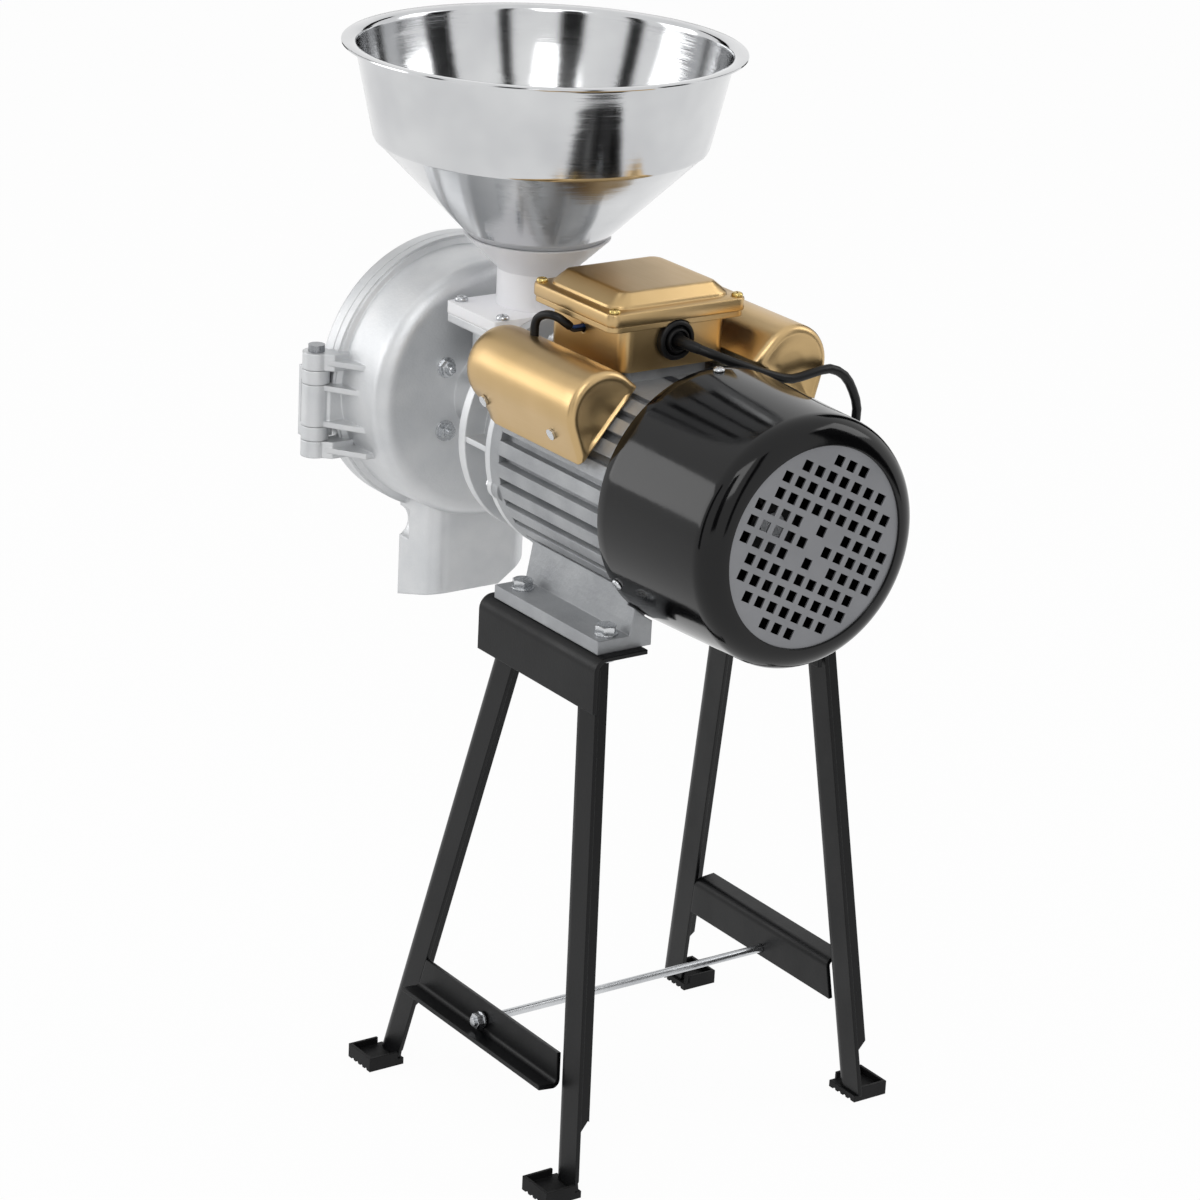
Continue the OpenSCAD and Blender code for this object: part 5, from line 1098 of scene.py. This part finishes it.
def ring_places(x, radius, first, spins, facing=None):
    """Places spaced evenly round the shaft, one for each spin; without a facing each faces straight out."""
    out = []
    for k, spin in enumerate(spins):
        a = math.radians(first + 360 / len(spins) * k)
        outward = (0, math.cos(a), math.sin(a))
        out.append((at(x, radius * outward[1], radius * outward[2]), facing or outward, spin))
    return out


class FastenerSettings(bpy.types.PropertyGroup):
    foot_bolt: length_setting("Foot bolt", "Width across the foot bolts' heads", 13)
    small_nut: length_setting("Small nut", "Width across the nut on the drum's side", 10)
    lid_screw: length_setting("Lid screw", "Radius of the lid screws' heads", 4)
    cup_screw: length_setting("Cup screw", "Radius of the cup screws' heads", 4.75)
    cowl_screw: length_setting("Cowl screw", "Radius of the cowl screws' heads", 4)


class MILL_OT_fasteners(bpy.types.Operator):
    """Puts every screw, bolt and nut on its place"""
    bl_idname = "mill.fasteners"
    bl_label = "Fasteners"

    def execute(self, context):
        s = context.scene.mill_fasteners
        zinc, brass = zinc_plate(), brass_plate()
        sizes = (s.foot_bolt, s.small_nut, s.lid_screw, s.cup_screw, s.cowl_screw)
        across, small, lid, cup, cowl = (1000 * v for v in sizes)
        foot_bolt = hex_head(across, height=5.5, shank_radius=4, shank=18.8, washer_radius=8, washer=1.4)
        places = corner_places(FOOT_MIDDLE, FOOT_HALF, FOOT_BOLT_Z, UP, (-55, 15, -15, 55))
        self.put("Foot_bolts", foot_bolt, places, zinc, "foot_bolts")
        places = corner_places(FOOT_MIDDLE, FOOT_HALF, FOOT_NUT_Z, DOWN, (-12, -12, 12, 12))
        foot_nut = hex_head(across, height=5.9, shank_radius=3.9, shank=0.5)
        self.put("Foot_nuts", foot_nut, places, zinc, "foot_nuts")
        places = corner_places(BOX_MIDDLE, LID_SCREW_HALF, LID_SCREW_Z, UP, (-27, -1, 35, 61))
        lid_screw = pan_head(lid, height=2.4, shank_radius=1.9, shank=8)
        self.put("Lid_screws", lid_screw, places, brass, "lid_screws")
        places = corner_places(HOPPER_AXIS, CUP_SCREW_HALF, CUP_SCREW_Z, UP, (5, 25, 55, 75))
        cup_screw = pan_head(cup, height=3, shank_radius=2.4, shank=14)
        self.put("Cup_screws", cup_screw, places, zinc, "cup_screws")
        places = ring_places(COWL_SCREW_X, COWL_SCREW_RADIUS, COWL_SCREW_TURN, (25, 25, 25))
        cowl_screw = pan_head(cowl, height=2.2, shank_radius=2, shank=8)
        self.put("Cowl_screws", cowl_screw, places, zinc, "cowl_screws")
        places = ring_places(BELL_BOLT_X, BELL_BOLT_RADIUS, BELL_BOLT_TURN, (0, 10, 20, 30), TO_MILL)
        bell_bolt = hex_head(across, height=5.5, shank_radius=4, shank=16)
        self.put("Bell_bolts", bell_bolt, places, zinc, "bell_bolts")
        drum_nut = hex_head(small, height=4.5, shank_radius=2.9, shank=1.5, washer_radius=7.5, washer=1.2,
                            stub=4)
        self.put("Drum_nut", drum_nut, [(at(*DRUM_STUD), TO_MOTOR, 14)], zinc)
        return {"FINISHED"}

    def put(self, name, pattern, places, material, node=None):
        mesh = scattered(name, pattern, places, material)
        finished(name, mesh, material, replaced=[node] if node else (), smooth_angle=32)


# Panel and registration

OPERATORS = (MILL_OT_stage, MILL_OT_mains_cord, MILL_OT_finishes, MILL_OT_hopper, MILL_OT_capacitor_covers,
             MILL_OT_box_lid, MILL_OT_fan_cowl, MILL_OT_cable_gland, MILL_OT_capacitor_lead,
             MILL_OT_fasteners)
SETTINGS = {"mill_stage": StageSettings, "mill_cord": CordSettings, "mill_hopper": HopperSettings,
            "mill_covers": CoverSettings, "mill_lid": LidSettings, "mill_cowl": CowlSettings,
            "mill_gland": GlandSettings, "mill_lead": LeadSettings, "mill_fasteners": FastenerSettings}


class MILL_PT_panel(bpy.types.Panel):
    """Lists the mill's pieces in the 3D view's sidebar"""
    bl_idname = "MILL_PT_panel"
    bl_label = "Grain mill"
    bl_space_type = "VIEW_3D"
    bl_region_type = "UI"
    bl_category = "Grain mill"

    def draw(self, context):
        for operator in OPERATORS:
            self.layout.operator(operator.bl_idname)
        for name, group in SETTINGS.items():
            column = self.layout.column()
            column.label(text=name.replace("mill_", "").replace("_", " ").capitalize())
            for field in group.__annotations__:
                column.prop(getattr(context.scene, name), field)


def register():
    for kind in (*SETTINGS.values(), *OPERATORS, MILL_PT_panel):
        bpy.utils.register_class(kind)
    for name, group in SETTINGS.items():
        setattr(bpy.types.Scene, name, PointerProperty(type=group))


def unregister():
    for name in SETTINGS:
        delattr(bpy.types.Scene, name)
    for kind in reversed((*SETTINGS.values(), *OPERATORS, MILL_PT_panel)):
        bpy.utils.unregister_class(kind)


def main():
    register()
    for operator in OPERATORS:
        getattr(bpy.ops.mill, operator.bl_idname.split(".")[1])()


if __name__ == "__main__":
    main()
